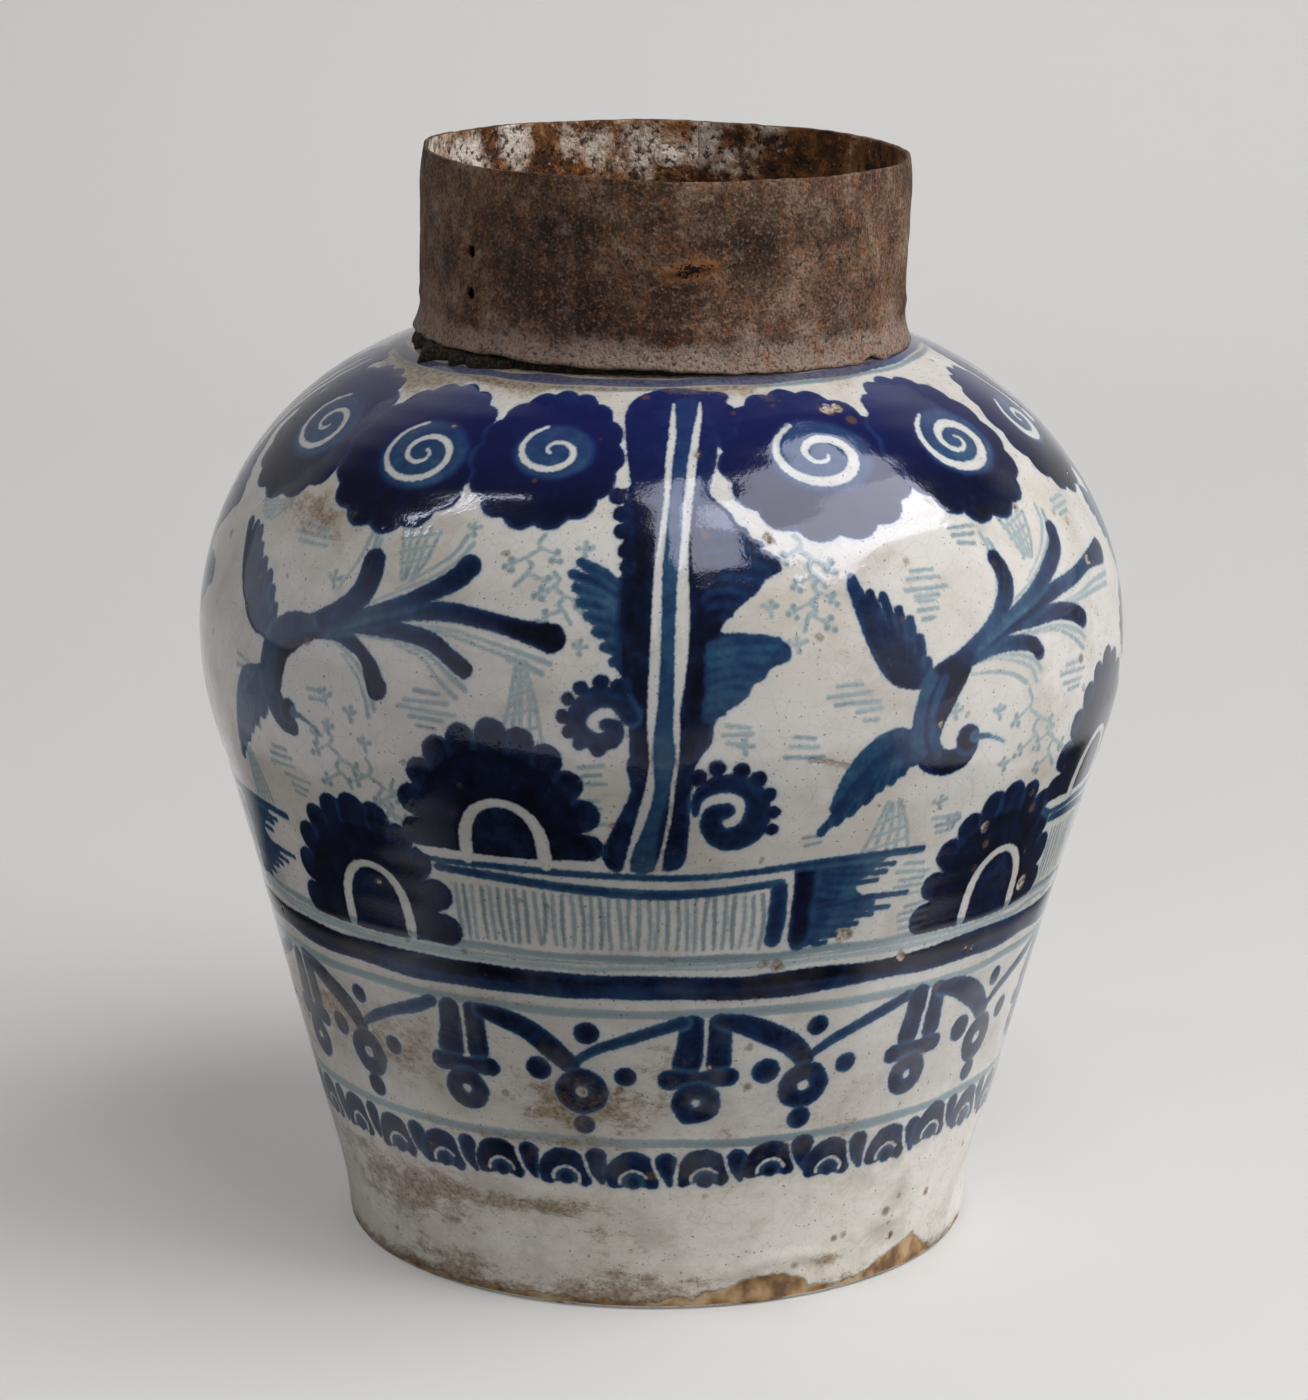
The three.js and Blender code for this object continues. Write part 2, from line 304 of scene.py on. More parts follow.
# Shoulder clouds: dark scalloped rounds with a white spiral each, three between one trunk and the next
clouds = dict(
    # degree, mm up, half width in degrees and half height in mm
    places=[(24.2, 312, 15.6, 33), (49.8, 311, 14.0, 33.5), (72.8, 315, 12.3, 31)],
    # degree, mm up, half width and half height in mm, turns
    spirals=[(25.6, 312, 17.4, 14.6, 1.62), (51.9, 309.5, 16.6, 14.0, 1.85), (73.8, 315.5, 13.2, 11.2, 1.3)],
    lobes=15, lobeDepth=0.075, innerSize=0.12, line=(0.5, 1.85),
    lineShare=(1, 0.7, 0.85, 0.6),  # how broad the white lines are, by quarter
    moved={(0, 2): (4.4, -8.5)},  # one cloud sits lower than its fellows
)


# The edge is an ellipse that dips between its lobes, to 1 - lobeDepth of its size. The spiral's radius grows
# with its angle, from a small inner size to the full one.
def paintCloud(place, spiral, turn, lineShare):
    degrees, arc, halfDegrees, halfHeight = place
    scale = millimetresPerDegree(arc)
    halfWidth = halfDegrees * scale
    where, _, _, across = reach(np.array([(degrees + turn, arc, halfHeight, 0)] * 2), margin=8)
    x = (across - degrees - turn)[None] * scale
    y = rows[where[0].ravel()][:, None] - arc
    around, away = np.arctan2(y / halfHeight, x / halfWidth), np.hypot(x / halfWidth, y / halfHeight)
    phase = dice.uniform(0, np.pi)
    edge = 1 - clouds["lobeDepth"] * (1 - np.abs(np.sin(around * clouds["lobes"] / 2 + phase)))
    depth = (edge - away) * min(halfWidth, halfHeight)
    # teal inside the spiral, darkest in a ring round it, thinner towards the top edge
    degrees, arc, width, height, turns = spiral
    middle = np.hypot((across - degrees - turn)[None] * scale / width,
                      (rows[where[0].ravel()][:, None] - arc) / height)
    inked = 1.0 - 0.62 * smooth(-middle, -1.18, -0.9) - 0.28 * smooth(y, 12, 27) - 0.1 * smooth(-y, 16, 30)
    lay("cobalt", where, depth, inked, rim=0.62)
    step = np.linspace(0, 1, int(turns * 14))
    angle = (112 + 360 * turns * (1 - step)) * degree
    size = clouds["innerSize"] + (1 - clouds["innerSize"]) * step ** 1.15
    thin, broad = clouds["line"]
    thick = thin + (broad * lineShare - thin) * np.sin(np.pi * step ** 1.7)
    points = np.stack([degrees + size * width * np.cos(angle) / scale,
                       arc + size * height * np.sin(angle), thick], -1)
    scrape(points, turn, steps=2)


# The trunk: a dark stem with a cloudy crown and three rounded feet, parted by two white lines
trunk = dict(
    outline=[
        (-7.1, 175), (-6.9, 180), (-5.7, 187.5), (-4.5, 194.5), (-3.7, 201), (-3.9, 208), (-4.0, 211),
        (-3.4, 215), (-3.3, 222), (-3.8, 233), (-4.9, 241), (-5.0, 252), (-4.8, 268), (-4.9, 284),
        (-4.9, 296), (-3.9, 301.5), (-4.6, 309), (-5.4, 320), (-5.9, 331), (-5.2, 339), (-3.6, 343.5),
        (-1.2, 346.5), (2, 348.6), (6, 348.4), (9.2, 346.4), (12.8, 346), (14, 342.5), (12.6, 338),
        (11.1, 332), (10, 322), (8.8, 311), (7.3, 301), (7.8, 297), (9.6, 292.5), (10.4, 287.5),
        (12, 283.5), (12.3, 280.5), (14.6, 276.5), (15.1, 272), (13, 268.8), (11.8, 264.8), (9.8, 261),
        (8.2, 257), (7.1, 252.9), (9.6, 252.2), (12.6, 251), (14.9, 247.6), (15, 242.6), (12.8, 240.2),
        (11.9, 237.2), (10.6, 235), (9.9, 232), (8.8, 229), (7.4, 226.6), (6.2, 223.2), (5.7, 217),
        (4.3, 211), (3.5, 204), (3.4, 192), (3.2, 180), (2.9, 174), (1.6, 170.6), (-0.3, 171), (-2.3, 170),
        (-4.2, 171.3), (-5.8, 170.2),
    ],
    middle=[(5.6, 338, 3.5), (4.2, 322, 3.2), (3, 308, 3.1), (1.9, 288, 3), (1.1, 262, 3.6),
            (0.6, 242, 3.5), (0.5, 224, 3.2), (0, 205, 3), (-1.6, 188, 3.2), (-2.3, 174, 3.6)],
    gaps=[
        [(3.1, 339, 0.2), (2.7, 331, 0.7), (2.3, 322, 1.05), (1.6, 312, 0.95), (1.1, 299, 0.8),
         (0.5, 288, 0.85), (-0.2, 275, 1.1), (-0.5, 262, 1.35), (-0.7, 246, 1.5), (-0.95, 231, 1.5),
         (-1.2, 220, 0.85), (-1.15, 212, 0.35), (-1.2, 205, 1), (-1.5, 199, 1.35), (-2.4, 190, 1.3),
         (-3.3, 182, 0.85), (-3.9, 176, 0.5), (-4.2, 170.5, 1.2)],
        [(8.1, 340, 0.2), (7.3, 332, 0.7), (6.3, 324, 1), (5.3, 314, 1.2), (4.5, 304, 1.4), (3.8, 294, 1.3),
         (3.2, 283, 1.1), (2.7, 270, 1.6), (2.6, 260, 2), (2.35, 248, 2), (2.15, 238, 1.6), (1.8, 229, 0.9),
         (1.75, 220, 0.85), (1.8, 212, 0.4), (1.4, 204, 0.55), (0.9, 190, 0.45), (0.2, 179, 0.35),
         (-0.4, 170.5, 1.1)],
        [(-6.1, 334, 0.4), (-5.75, 325, 0.6), (-5.2, 315, 0.7), (-5.0, 308, 1.4), (-5.0, 303.5, 2.1)],
    ],
    # where the crown runs into the first cloud
    join=[(9.5, 339.5, 4.5, 0.72), (11.5, 333, 5.5, 0.8), (11.2, 325, 3.4, 0.9)],
    scallops=[(-5.6, 298.5, 3.6), (-5.1, 291.8, 3.3), (-4.7, 285.5, 3.1), (-4.4, 279.5, 2.8),
              (-4.3, 273.8, 2.6)],
    shades=[  # point lists with half width and tone, laid thinly over the stem
        [(5.5, 300, 3, 0.5), (5.6, 285, 4, 0.95), (5.2, 265, 4.5, 1), (4.7, 245, 4, 1), (4.2, 228, 3.6, 1),
         (3, 210, 3, 0.8)],
        [(-2.8, 330, 5, 0.95), (-2.6, 300, 4, 0.95), (-2.8, 262, 4, 1), (-2.6, 232, 3, 0.9),
         (-2.6, 210, 3, 0.85)],
    ],
)


def paintTrunk(turn):
    fill(trunk["outline"], 0.78, turn, rim=0.8)
    for shade in trunk["shades"]:
        brush(shade, turn=turn, rim=0.9, over=0.7)
    for point in trunk["scallops"]:
        brush([point], 0.85, turn=turn, rim=0.95)
    brush(trunk["join"], turn=turn, rim=0.9)
    brush(trunk["middle"], 0.42, turn=turn, rim=1, over=0.8)
    for gap in trunk["gaps"]:
        scrape(gap, turn)


# A leaf or wing of strokes side by side, from a root line to tips
def paintFeathers(leaf, turn):
    roots, tips = np.array(leaf["roots"], float), np.array(leaf["tips"], float)
    if "body" in leaf:
        fill(leaf["body"], leaf["tone"] * 1.15, turn)
    for i, tip in enumerate(tips):
        root = roots[0] + (roots[1] - roots[0]) * i / (len(tips) - 1)
        middle = (root + tip) / 2 + [0, leaf["bend"]]
        width, tone = leaf["width"], leaf["tone"] * dice.uniform(0.9, 1.1)
        stroke = [(*root, width, tone), (*middle, width * 1.1, tone), (*tip, width * 0.85, tone * 0.95)]
        brush(stroke, turn=turn, rim=leaf.get("rim", 0.72), over=leaf.get("over", 1))


leaves = [
    dict(roots=((-4.3, 264), (-4.2, 240)), width=2.3, tone=0.62, bend=1.5, rim=0.65,
         tips=[(-9.9, 275), (-10.7, 271), (-10.4, 266.4), (-9.7, 262), (-8.7, 257.4), (-7.6, 252.6),
               (-6.5, 247.8), (-5.5, 243.4)],
         body=[(-4, 268), (-6.4, 269.5), (-8.6, 267), (-8, 260), (-6.8, 253), (-5.5, 246), (-4, 241)]),
    dict(roots=((6.2, 286), (6.2, 258)), width=2.2, tone=0.8, bend=1.0, over=0.4,
         tips=[(11, 285), (12.8, 280.5), (14.4, 274.5), (13, 271), (11.3, 266.5), (9.5, 262.5), (8, 258.5)]),
    dict(roots=((6.2, 247), (5.4, 226)), width=1.9, tone=0.5, bend=1.0, over=0.65, rim=0.88,
         tips=[(13.6, 249), (14.4, 245), (12, 241.4), (10.8, 237.6), (9.7, 234), (8.7, 230.4), (7, 227)]),
]

# Curled fronds with a fringe of dots, one each side of the trunk
fronds = [
    dict(dots=[(-4.8, 235, 3.1), (-6.9, 236.3, 2.9), (-9.1, 234.6, 2.7), (-10.7, 230.5, 2.4),
               (-11.2, 225.3, 2.6), (-10.5, 220.5, 2.6), (-9.3, 216.4, 2.6), (-7.2, 214.9, 2.8),
               (-5.5, 217.4, 2.6)],
         curl=[(-3.5, 226, 3.4), (-5.0, 231, 3.6), (-7.4, 231.4, 3.8), (-9.3, 227, 3.6), (-9.4, 221, 3.4),
               (-7.6, 217.4, 3.2), (-5.7, 218.6, 3.4), (-5.3, 221.8, 3.2), (-6.3, 222.8, 2.4)]),
    dict(dots=[(4.2, 205.5, 3.3), (6.5, 208.5, 3.0), (9.1, 207.5, 3.0), (11.2, 204, 3.0), (12.5, 198.5, 2.9),
               (13.2, 192.5, 2.6), (13.1, 186, 2.6)],
         curl=[(3.9, 193, 1.4), (4.2, 198.5, 2.2), (6.2, 203, 3.2), (8.8, 202.6, 3.6), (10.8, 198.4, 4),
               (11.3, 191.5, 4.6), (10.2, 185, 5), (7.6, 183, 4.4), (5.9, 187, 4.2), (6, 192, 3.8),
               (7.6, 193.4, 3)]),
]


def paintFrond(frond, turn):
    brush(frond["curl"], 0.78, turn=turn, shake=0.4)
    for point in frond["dots"]:
        brush([point], 0.82, turn=turn, shake=0.6, rim=0.85)


# Long-tailed birds in flight; the two in the photograph differ in their wings and tails. Points are degree,
# mm up, half width and tone.
birds = [
    dict(
        body=[(38.6, 237, 3.4, 0.75), (36.4, 232.5, 6.2, 0.85), (34.4, 228, 7.6, 0.8),
              (32.9, 220.5, 6.9, 0.72), (32.2, 213, 5.9, 0.72), (32.8, 206.4, 5.5, 0.8),
              (35, 202.6, 4.7, 0.9), (37.5, 203.4, 4.2, 0.95), (38.8, 206.5, 4, 0.95)],
        head=[(38.5, 209.3, 5.2, 0.95)],
        beak=[(39.4, 210, 1.4, 0.5), (42, 208.9, 1.0, 0.35), (44.6, 205.4, 0.6, 0.3)],
        shades=[[(33.2, 232, 1.4, 0.4), (31.6, 225, 1.4, 0.4), (31.1, 214, 1.3, 0.42), (31.8, 207, 1.1, 0.5)],
                [(35, 231, 0.9, 0.5), (33.4, 222, 0.8, 0.5), (33, 213, 0.8, 0.5), (34, 206, 0.7, 0.6)],
                [(37.5, 231, 2.6, 1), (35.8, 225, 2.4, 1), (34.4, 219, 1.8, 1)]],
        tail=[
            [(37, 236.5, 2.6, 0.6), (42.6, 244.4, 2.8, 0.5), (45.7, 251, 3.6, 0.6), (47, 257.5, 4, 0.78),
             (46.8, 262.5, 3.7, 0.85), (46.3, 266.2, 3.4, 0.85)],
            [(38, 237.5, 2.2, 0.6), (46, 246.5, 2, 0.45), (52, 252.4, 2.7, 0.55), (57, 259, 3.5, 0.75),
             (60, 264.6, 3.7, 0.82), (60.9, 269.6, 3.6, 0.85)],
            [(39, 237.5, 2.4, 0.7), (45, 243.6, 2.9, 0.75), (50, 247.3, 3.6, 0.8), (56, 250.4, 3.1, 0.7),
             (62, 252.6, 2.9, 0.6), (68, 254.6, 3.2, 0.65), (74, 255, 4.8, 0.8)],
            [(40, 238, 2, 0.6), (46, 242.8, 2.1, 0.6), (51, 243.7, 2.8, 0.7), (56, 243.7, 3.1, 0.75),
             (60, 241.2, 3.3, 0.82), (62.2, 238, 3.6, 0.85)],
            [(37, 234, 2.4, 0.6), (40, 236.4, 2.4, 0.5), (44, 238, 2.6, 0.5), (47.5, 237.5, 3, 0.7),
             (50, 235.6, 3.2, 0.82), (51, 232.6, 3.1, 0.85)],
        ],
        wings=[
            dict(roots=((29.2, 232), (32.2, 231)), width=2.3, tone=0.8, bend=-4,
                 tips=[(23.9, 267.4), (26, 261.4), (27.8, 260), (29.4, 255), (30.7, 251.2), (31.8, 245.4),
                       (32.6, 237)]),
            dict(roots=((30.6, 214), (30.4, 205)), width=2.3, tone=0.62, bend=3.5,
                 tips=[(19.5, 183), (21.2, 186.4), (22.9, 188.8), (24.6, 193), (26.2, 196.9), (27.9, 198.8),
                       (29.3, 201.6)]),
        ],
        bulk=[[(31.2, 231.6, 3, 0.95), (28.8, 236.4, 6.2, 0.95), (26.8, 245, 5.4, 0.85),
               (25.1, 255, 3.8, 0.8), (24, 264, 2.6, 0.72)],
              [(30.4, 211.5, 4.6, 0.75), (27.8, 212.4, 5, 0.7), (25, 208.2, 5.2, 0.65),
               (22.6, 201, 4.2, 0.65), (20.9, 192, 2.8, 0.7)]],
    ),
    dict(
        body=[(43, 243.6, 4, 0.6), (40.6, 240.6, 6.6, 0.6), (38.3, 236.4, 7.6, 0.58), (36.9, 230, 6.6, 0.6),
              (36.6, 223, 5.6, 0.62), (37.5, 216, 5.2, 0.65), (39.3, 211, 4.9, 0.85),
              (41, 208.4, 3.6, 0.95)],
        head=[(40.4, 213.6, 4.6, 1)],
        beak=[(41.4, 213.4, 1.3, 0.5), (43.8, 211.6, 0.9, 0.35), (46, 208.2, 0.6, 0.3)],
        shades=[[(44.5, 240, 1.0, 1), (42, 237.5, 1.6, 1), (39.6, 232.5, 2, 1), (38.9, 226, 1.8, 1),
                 (38.6, 220, 1.4, 1)]],
        tail=[
            [(44, 245, 3.4, 0.65), (48.6, 251, 4.4, 0.7), (51, 257.6, 5, 0.72), (51.7, 264, 5.2, 0.8),
             (51.6, 268.4, 4.8, 0.85)],
            [(47, 246, 2.6, 0.6), (52, 250.8, 2.4, 0.5), (57, 256, 2.7, 0.6), (61, 261, 3.4, 0.7),
             (64, 266, 4, 0.78), (65.6, 271, 4.4, 0.82)],
            [(46, 245, 2.8, 0.65), (52, 248.6, 3, 0.62), (58, 253.4, 3.2, 0.6), (64, 255.5, 3.5, 0.7),
             (70, 253.5, 3.3, 0.8), (74.4, 251.5, 3.9, 0.92), (77.1, 249.8, 5, 1)],
            [(46, 244, 2.6, 0.6), (52, 247, 2.8, 0.6), (58, 247.5, 3.2, 0.65), (62, 245.5, 3.4, 0.75),
             (64.5, 241.5, 3.2, 0.85), (66.8, 238, 3.3, 0.95)],
            [(43, 242, 3, 0.6), (48, 243.6, 3.1, 0.65), (50.5, 241.6, 3, 0.75), (52.6, 238.4, 2.6, 0.85),
             (54, 234, 3.3, 0.95), (55, 228, 4.2, 1)],
        ],
        wings=[
            dict(roots=((33, 238.5), (36.4, 240)), width=2.5, tone=0.66, bend=-3,
                 tips=[(23, 269.4), (25.2, 269.4), (27, 268.6), (29.1, 263.4), (31, 259.4), (33, 255.6),
                       (34.7, 251.2), (36.2, 246.2)]),
            dict(roots=((34.4, 221), (35.4, 212)), width=2.5, tone=0.6, bend=3,
                 tips=[(26, 189.6), (27.7, 193.4), (29.5, 198), (31.2, 202), (33, 206), (34.8, 209.4)]),
        ],
        bulk=[[(35.4, 239.4, 4.6, 0.62), (32.2, 243.4, 6.4, 0.6), (30, 250, 6, 0.7), (27.6, 258, 4.4, 0.85),
               (25.2, 265, 2.8, 0.85)],
              [(34.2, 221.6, 4.8, 0.6), (31.6, 218, 6.4, 0.55), (30, 211, 5.8, 0.55), (28.5, 203, 4.2, 0.6),
               (27, 195, 2.8, 0.6)]],
    ),
]


def paintBird(bird, turn):  # from the tail forwards, so that the body lies over its feathers
    for plume in reversed(bird["tail"]):
        brush(plume, turn=turn, shake=0.5, rim=0.7)
    for wing in bird["wings"]:
        paintFeathers(wing, turn)
    for mass in bird["bulk"]:
        brush(mass, turn=turn, shake=0.5, rim=0.85, over=0.75)
    brush(bird["body"], turn=turn, shake=0.5, rim=0.7)
    for shade in bird["shades"]:
        brush(shade, turn=turn, shake=0.4, rim=0.9, over=0.8)
    for point in bird["head"]:
        brush([point], turn=turn)
    brush(bird["beak"], turn=turn, shake=0.4)


# Domed flowers: a half round of lobes over a white arch and a dark heart
# Middle of the lobes' half ellipse, its half sizes, lobe radius; the arch's middle, half sizes and line
domes = [
    dict(centre=(48.9, 143), half=(11.9, 40.2), lobe=6.1, arch=(49.9, 140, 5.4, 22.5, 1.55)),
    dict(centre=(70.0, 179.5), half=(11.2, 38.0), lobe=5.7, arch=(70.7, 173.5, 5.1, 20.5, 1.75)),
]
domeLobes = 11


# The lobes stand along a half ellipse and the ones at its top are laid last. The arch is a half ellipse too,
# squarer at its shoulders.
def paintDome(dome, turn):
    (degrees, arc), (halfDegrees, rise) = dome["centre"], dome["half"]
    scale, lobe = millimetresPerDegree(arc + rise / 2), dome["lobe"]
    order = np.argsort(-np.abs(np.arange(domeLobes) - (domeLobes - 1) / 2))
    for i in order:
        angle = np.pi * i / (domeLobes - 1)
        out = np.array([np.cos(angle) * halfDegrees, np.sin(angle) * rise])
        brush([(degrees + 0.6 * out[0], arc + 0.6 * out[1], lobe), (degrees + out[0], arc + out[1], lobe)],
              0.82, turn=turn, steps=2, rim=0.8)
    inner = lobe / scale
    fill([(degrees + (halfDegrees - 0.4 * inner) * np.cos(a),
           arc - lobe * 0.85 + (rise - 0.3 * lobe) * np.sin(a) ** 0.8)
          for a in np.linspace(0, np.pi, 13)], 0.92, turn, rim=1, over=0.9)
    middle, foot, half, high, line = dome["arch"]
    arch = [(middle + half * np.cos(a), foot + high * np.sin(a) ** 0.75, line * (1 + 0.25 * np.cos(2 * a)))
            for a in np.linspace(np.pi, 0, 13)]
    scrape([(middle - half, foot - 2, line), *arch, (middle + half, foot - 2, line)], turn, steps=3)


# The planter that the trunk stands in, with a feathered wing at its right end
planter = dict(
    edges=[[(-31.8, 172, 1.2), (-29.5, 169.4, 1.3), (-20, 169.6, 1.5), (-8, 168.9, 1.5), (2, 168.6, 1.5),
            (10, 169.6, 1.5), (17, 171, 1.6), (26, 171.6, 1.7), (34.2, 171, 1.6)],
           [(-28.8, 166.6, 1.8), (-20, 165.4, 1.9), (-10, 163.2, 2), (0, 162, 2), (8, 163, 1.8),
            (15, 165.2, 1.6)]],
    stripesFrom=-26.8, stripesTo=12.9, stripes=34, bottom=141.2, stripeMiddle=151, top=161,
    bar=[(14.9, 163, 3.2), (14.9, 152, 3.2), (14.5, 143.5, 3.2)],
    wingFill=[(16.9, 171), (22, 171.5), (28.5, 170.4), (27.6, 166), (25.2, 161.4), (26.5, 156.6),
              (28.6, 153), (26, 148.6), (22.6, 143.4), (19.4, 139.6), (17, 139.6), (16.7, 155)],
    wing=[(34, 171), (30.4, 167.6), (29.2, 165), (28, 161.7), (25, 159), (33.2, 154.9), (30.6, 151.5),
          (28.2, 149), (26.2, 146.2), (24.2, 143), (22, 140.6)],
    wingFrom=18.6, wingRoots=(168, 149), wingMiddle=158,
)


def paintPlanter(turn):
    size = planter
    fill(size["wingFill"], 0.72, turn)
    for tip in size["wing"]:  # feathers of the wing, from one of two roots
        middle = size["wingRoots"][0] if tip[1] > size["wingMiddle"] else size["wingRoots"][1]
        root = (size["wingFrom"], (tip[1] + middle) / 2, 1.7, 0.8)
        brush([root, (0.5 * (size["wingFrom"] + tip[0]), tip[1] + 0.5, 1.5, 0.62), (*tip, 1.15, 0.5)],
              turn=turn, rim=0.75)
    brush([(18, 168, 4, 0.95), (18.1, 155, 4, 0.95), (18.1, 143.5, 4, 0.95)], turn=turn, over=0.8)
    for edge in size["edges"]:
        brush(edge, 0.6, turn=turn, shake=0.5)
    for degrees in np.linspace(size["stripesFrom"], size["stripesTo"], size["stripes"]):
        lean = dice.normal(0, 0.13, 2)
        stripe = [(degrees, size["top"], 0.85), (degrees + lean[0], size["stripeMiddle"], 0.95),
                  (degrees + lean[1], size["bottom"], 0.8)]
        brush(stripe, dice.uniform(0.6, 1.0), "wash", turn, 3)
    brush(size["bar"], 0.7, turn=turn)
    scrape([(16.45, 169, 0.3), (16.5, 160, 0.45), (16.4, 150, 0.45), (16.2, 141, 0.4)], turn)


# The pendant border: crosses with a loop, and rings on slanting arms, ten of each round the jar
pendants = dict(
    count=10, firstCross=5.8, ringShifts=(0, 0.6, -0.5, 0.8, 1.2, -0.7, 0.3, 1.0, -0.3, 2.2),
    cross=[[(-1.1, 111.4, 4.3), (-1.4, 104, 4.8), (-1.9, 97, 5.2)], [(2.55, 112, 4.1), (2.75, 97, 4.5)],
           [(-4.1, 90.7, 3.8), (0, 90.2, 3.5), (4.4, 90.5, 3.9)]],
    loop=(-0.15, 80.8, 5.0), loopLine=3.5,
    thickArm=[(2.9, 113, 2.9), (6.5, 110.8, 4), (10, 107, 4.7), (13.2, 101.5, 4.6), (15.6, 95.5, 4)],
    thinArm=[(16.6, 97, 1.7), (19.5, 101.5, 2.2), (24, 106, 2.4), (28.6, 110.2, 2.7), (31.6, 113.4, 2.6)],
    ring=(16.1, 84.8, 5.7), ringLine=3.7, drop=(16.1, 71.7, 4.4), sideDots=[(9.9, 92.5, 4.7),
                                                                            (22.6, 91.5, 4.2),
                                                                            (17.0, 107.9, 4.0)],
)


def paintRing(degrees, arc, size, line, tone, turn):  # a brushed circle of radius size
    points = [(degrees + size * np.cos(a) / millimetresPerDegree(arc), arc + size * np.sin(a), line)
              for a in np.linspace(0, 2 * np.pi, 13)]
    brush(points, tone, turn=turn, steps=2, shake=0.7)


def paintPendants(number):
    size = pendants
    turn = size["firstCross"] + 360 / size["count"] * number
    turn -= 1.2 * np.sin(2 * np.pi * number / size["count"])
    tone = dice.uniform(0.74, 0.88)
    for stroke in size["cross"]:
        brush(stroke, tone, turn=turn)
    paintRing(*size["loop"], size["loopLine"], tone, turn)
    scrape([(0.75, 114.5, 0.7), (0.8, 106, 0.45), (0.8, 95, 0.25)], turn)
    brush(size["thinArm"], tone * 0.75, turn=turn + size["ringShifts"][number] / 2)
    brush(size["thickArm"], tone, turn=turn + size["ringShifts"][number] / 2)
    turn += size["ringShifts"][number]
    paintRing(*size["ring"], size["ringLine"], tone, turn)
    for point in (*size["sideDots"], size["drop"]):
        brush([point], tone, turn=turn)


# The lowest border: small arches over a dot, parted by drops, each with a thin line of white round it
arches = dict(
    count=33, first=7,
    arch=[(-4.3, 48.8), (-4.2, 54.5), (-2.6, 60), (0, 62.2), (2.6, 60.2), (4.2, 54.6), (4.4, 48.4),
          (3.2, 46.4), (1.6, 47.5), (-1.2, 47.5), (-3.2, 46.6)],
    dot=(0.3, 49.8, 3.3), dotGap=(4.3, 0.4),  # the gap round the dot: radius and half width
    drop=[(5.3, 58.3, 3.9), (5.6, 53, 2.9), (6.2, 48.8, 1.3)], dropGap=0.75,
)


def paintArch(number):
    turn = arches["first"] + 360 / arches["count"] * number + dice.normal(0, 0.3)
    lift = dice.normal(0, 0.8)
    tone = dice.uniform(0.7, 0.86)
    degrees, arc, size = arches["dot"]
    fill([(d, s + lift) for d, s in arches["arch"]], tone, turn)
    gap, line = arches["dotGap"]
    scale = millimetresPerDegree(arc)
    scrape([(degrees + (gap + 0.4 * np.cos(2 * a)) * np.cos(a) / scale, arc + lift + gap * np.sin(a), line)
            for a in np.linspace(dice.uniform(-0.5, 0.6), np.pi + 0.2, 9)], turn, 3)
    brush([(degrees, arc + lift, size)], tone, turn=turn)
    drop = [(d, s + lift, w) for d, s, w in arches["drop"]]
    scrape([(d, s, w + arches["dropGap"]) for d, s, w in drop], turn)
    brush(drop, tone, turn=turn)


# Pale strokes that fill the ground between the figures
def dashes(degrees, arc, lengths, turn, gap=2.9, tilt=0.0):  # a stack of short level strokes
    for i, length in enumerate(lengths):
        up, half = arc - gap * i, length / 2 / millimetresPerDegree(arc)
        stroke = [(degrees - half, up + tilt, 0.95), (degrees + half, up - tilt, 0.85)]
        brush(stroke, dice.uniform(0.45, 0.85), "wash", turn, 2)


def twig(degrees, arc, size, way, turn):  # a forked stem with berries
    scale = size / 10
    stem = [(0, 0), (0.9, -3), (0.4, -6), (1.9, -9), (1.3, -12.5), (2.3, -16), (3.2, -20)]
    brush([(degrees + way * x * scale, arc + y * scale, 0.95) for x, y in stem], 0.7, "wash", turn)
    for x, y, side in ((0.5, -5, -1), (1.9, -9, 1), (1.6, -15, -1)):
        tip = (degrees + way * (x + side * 2.6) * scale, arc + (y - 3.4) * scale)
        brush([(degrees + way * x * scale, arc + y * scale, 0.75), (*tip, 0.8)], 0.6, "wash", turn, 2)
        for dx, dy in ((0.5, -1.8), (-0.6, -1.2), (0.1, 1.6)):
            brush([(tip[0] + dx * scale, tip[1] + dy, 1.35)], 0.8, "wash", turn)


def net(degrees, arc, width, height, turn, up=True):  # crossed strokes that narrow to a point
    scale = millimetresPerDegree(arc)
    reached = height if up else -height
    for i in np.linspace(-1, 1, 5):
        foot = (degrees + i * width / 2 / scale, arc)
        head = (degrees + i * width / 7 / scale, arc + reached)
        brush([(*foot, 0.9), ((foot[0] + head[0]) / 2 + 0.25, (foot[1] + head[1]) / 2, 0.9), (*head, 0.8)],
              dice.uniform(0.5, 0.85), "wash", turn, 2)
    for i in (0.15, 0.4, 0.65):
        half = width / 2 * (1 - 0.7 * i) / scale
        level = arc + reached * i
        brush([(degrees - half, level - 1.5, 0.75), (degrees + half, level + 1.5, 0.75)],
              0.6, "wash", turn, 2)


def sprig(degrees, arc, turn):  # a small three-lobed bud
    for dx, dy in ((-0.8, 1.2), (0.1, 2.4), (1, 1), (0.2, -2)):
        brush([(degrees, arc, 0.7), (degrees + dx, arc + dy, 1.1)], dice.uniform(0.5, 0.85), "wash", turn, 2)


def echoes(line, count, side, turn):  # thin strokes that follow a plume, each a little further off
    points = np.array(line, float)[:, :3]
    for i in range(count):
        part = points[1 + i % 2:len(points) - (i > 1)].copy()
        part[:, 1] += side * (points[-1, 2] + 2.2 + 2.6 * i) * np.linspace(0.5, 1.15, len(part))
        part[:, 0] -= 0.9 * i
        part[:, 2] = np.linspace(0.5, 1.2, len(part))
        brush(part, dice.uniform(0.45, 0.7), "wash", turn)


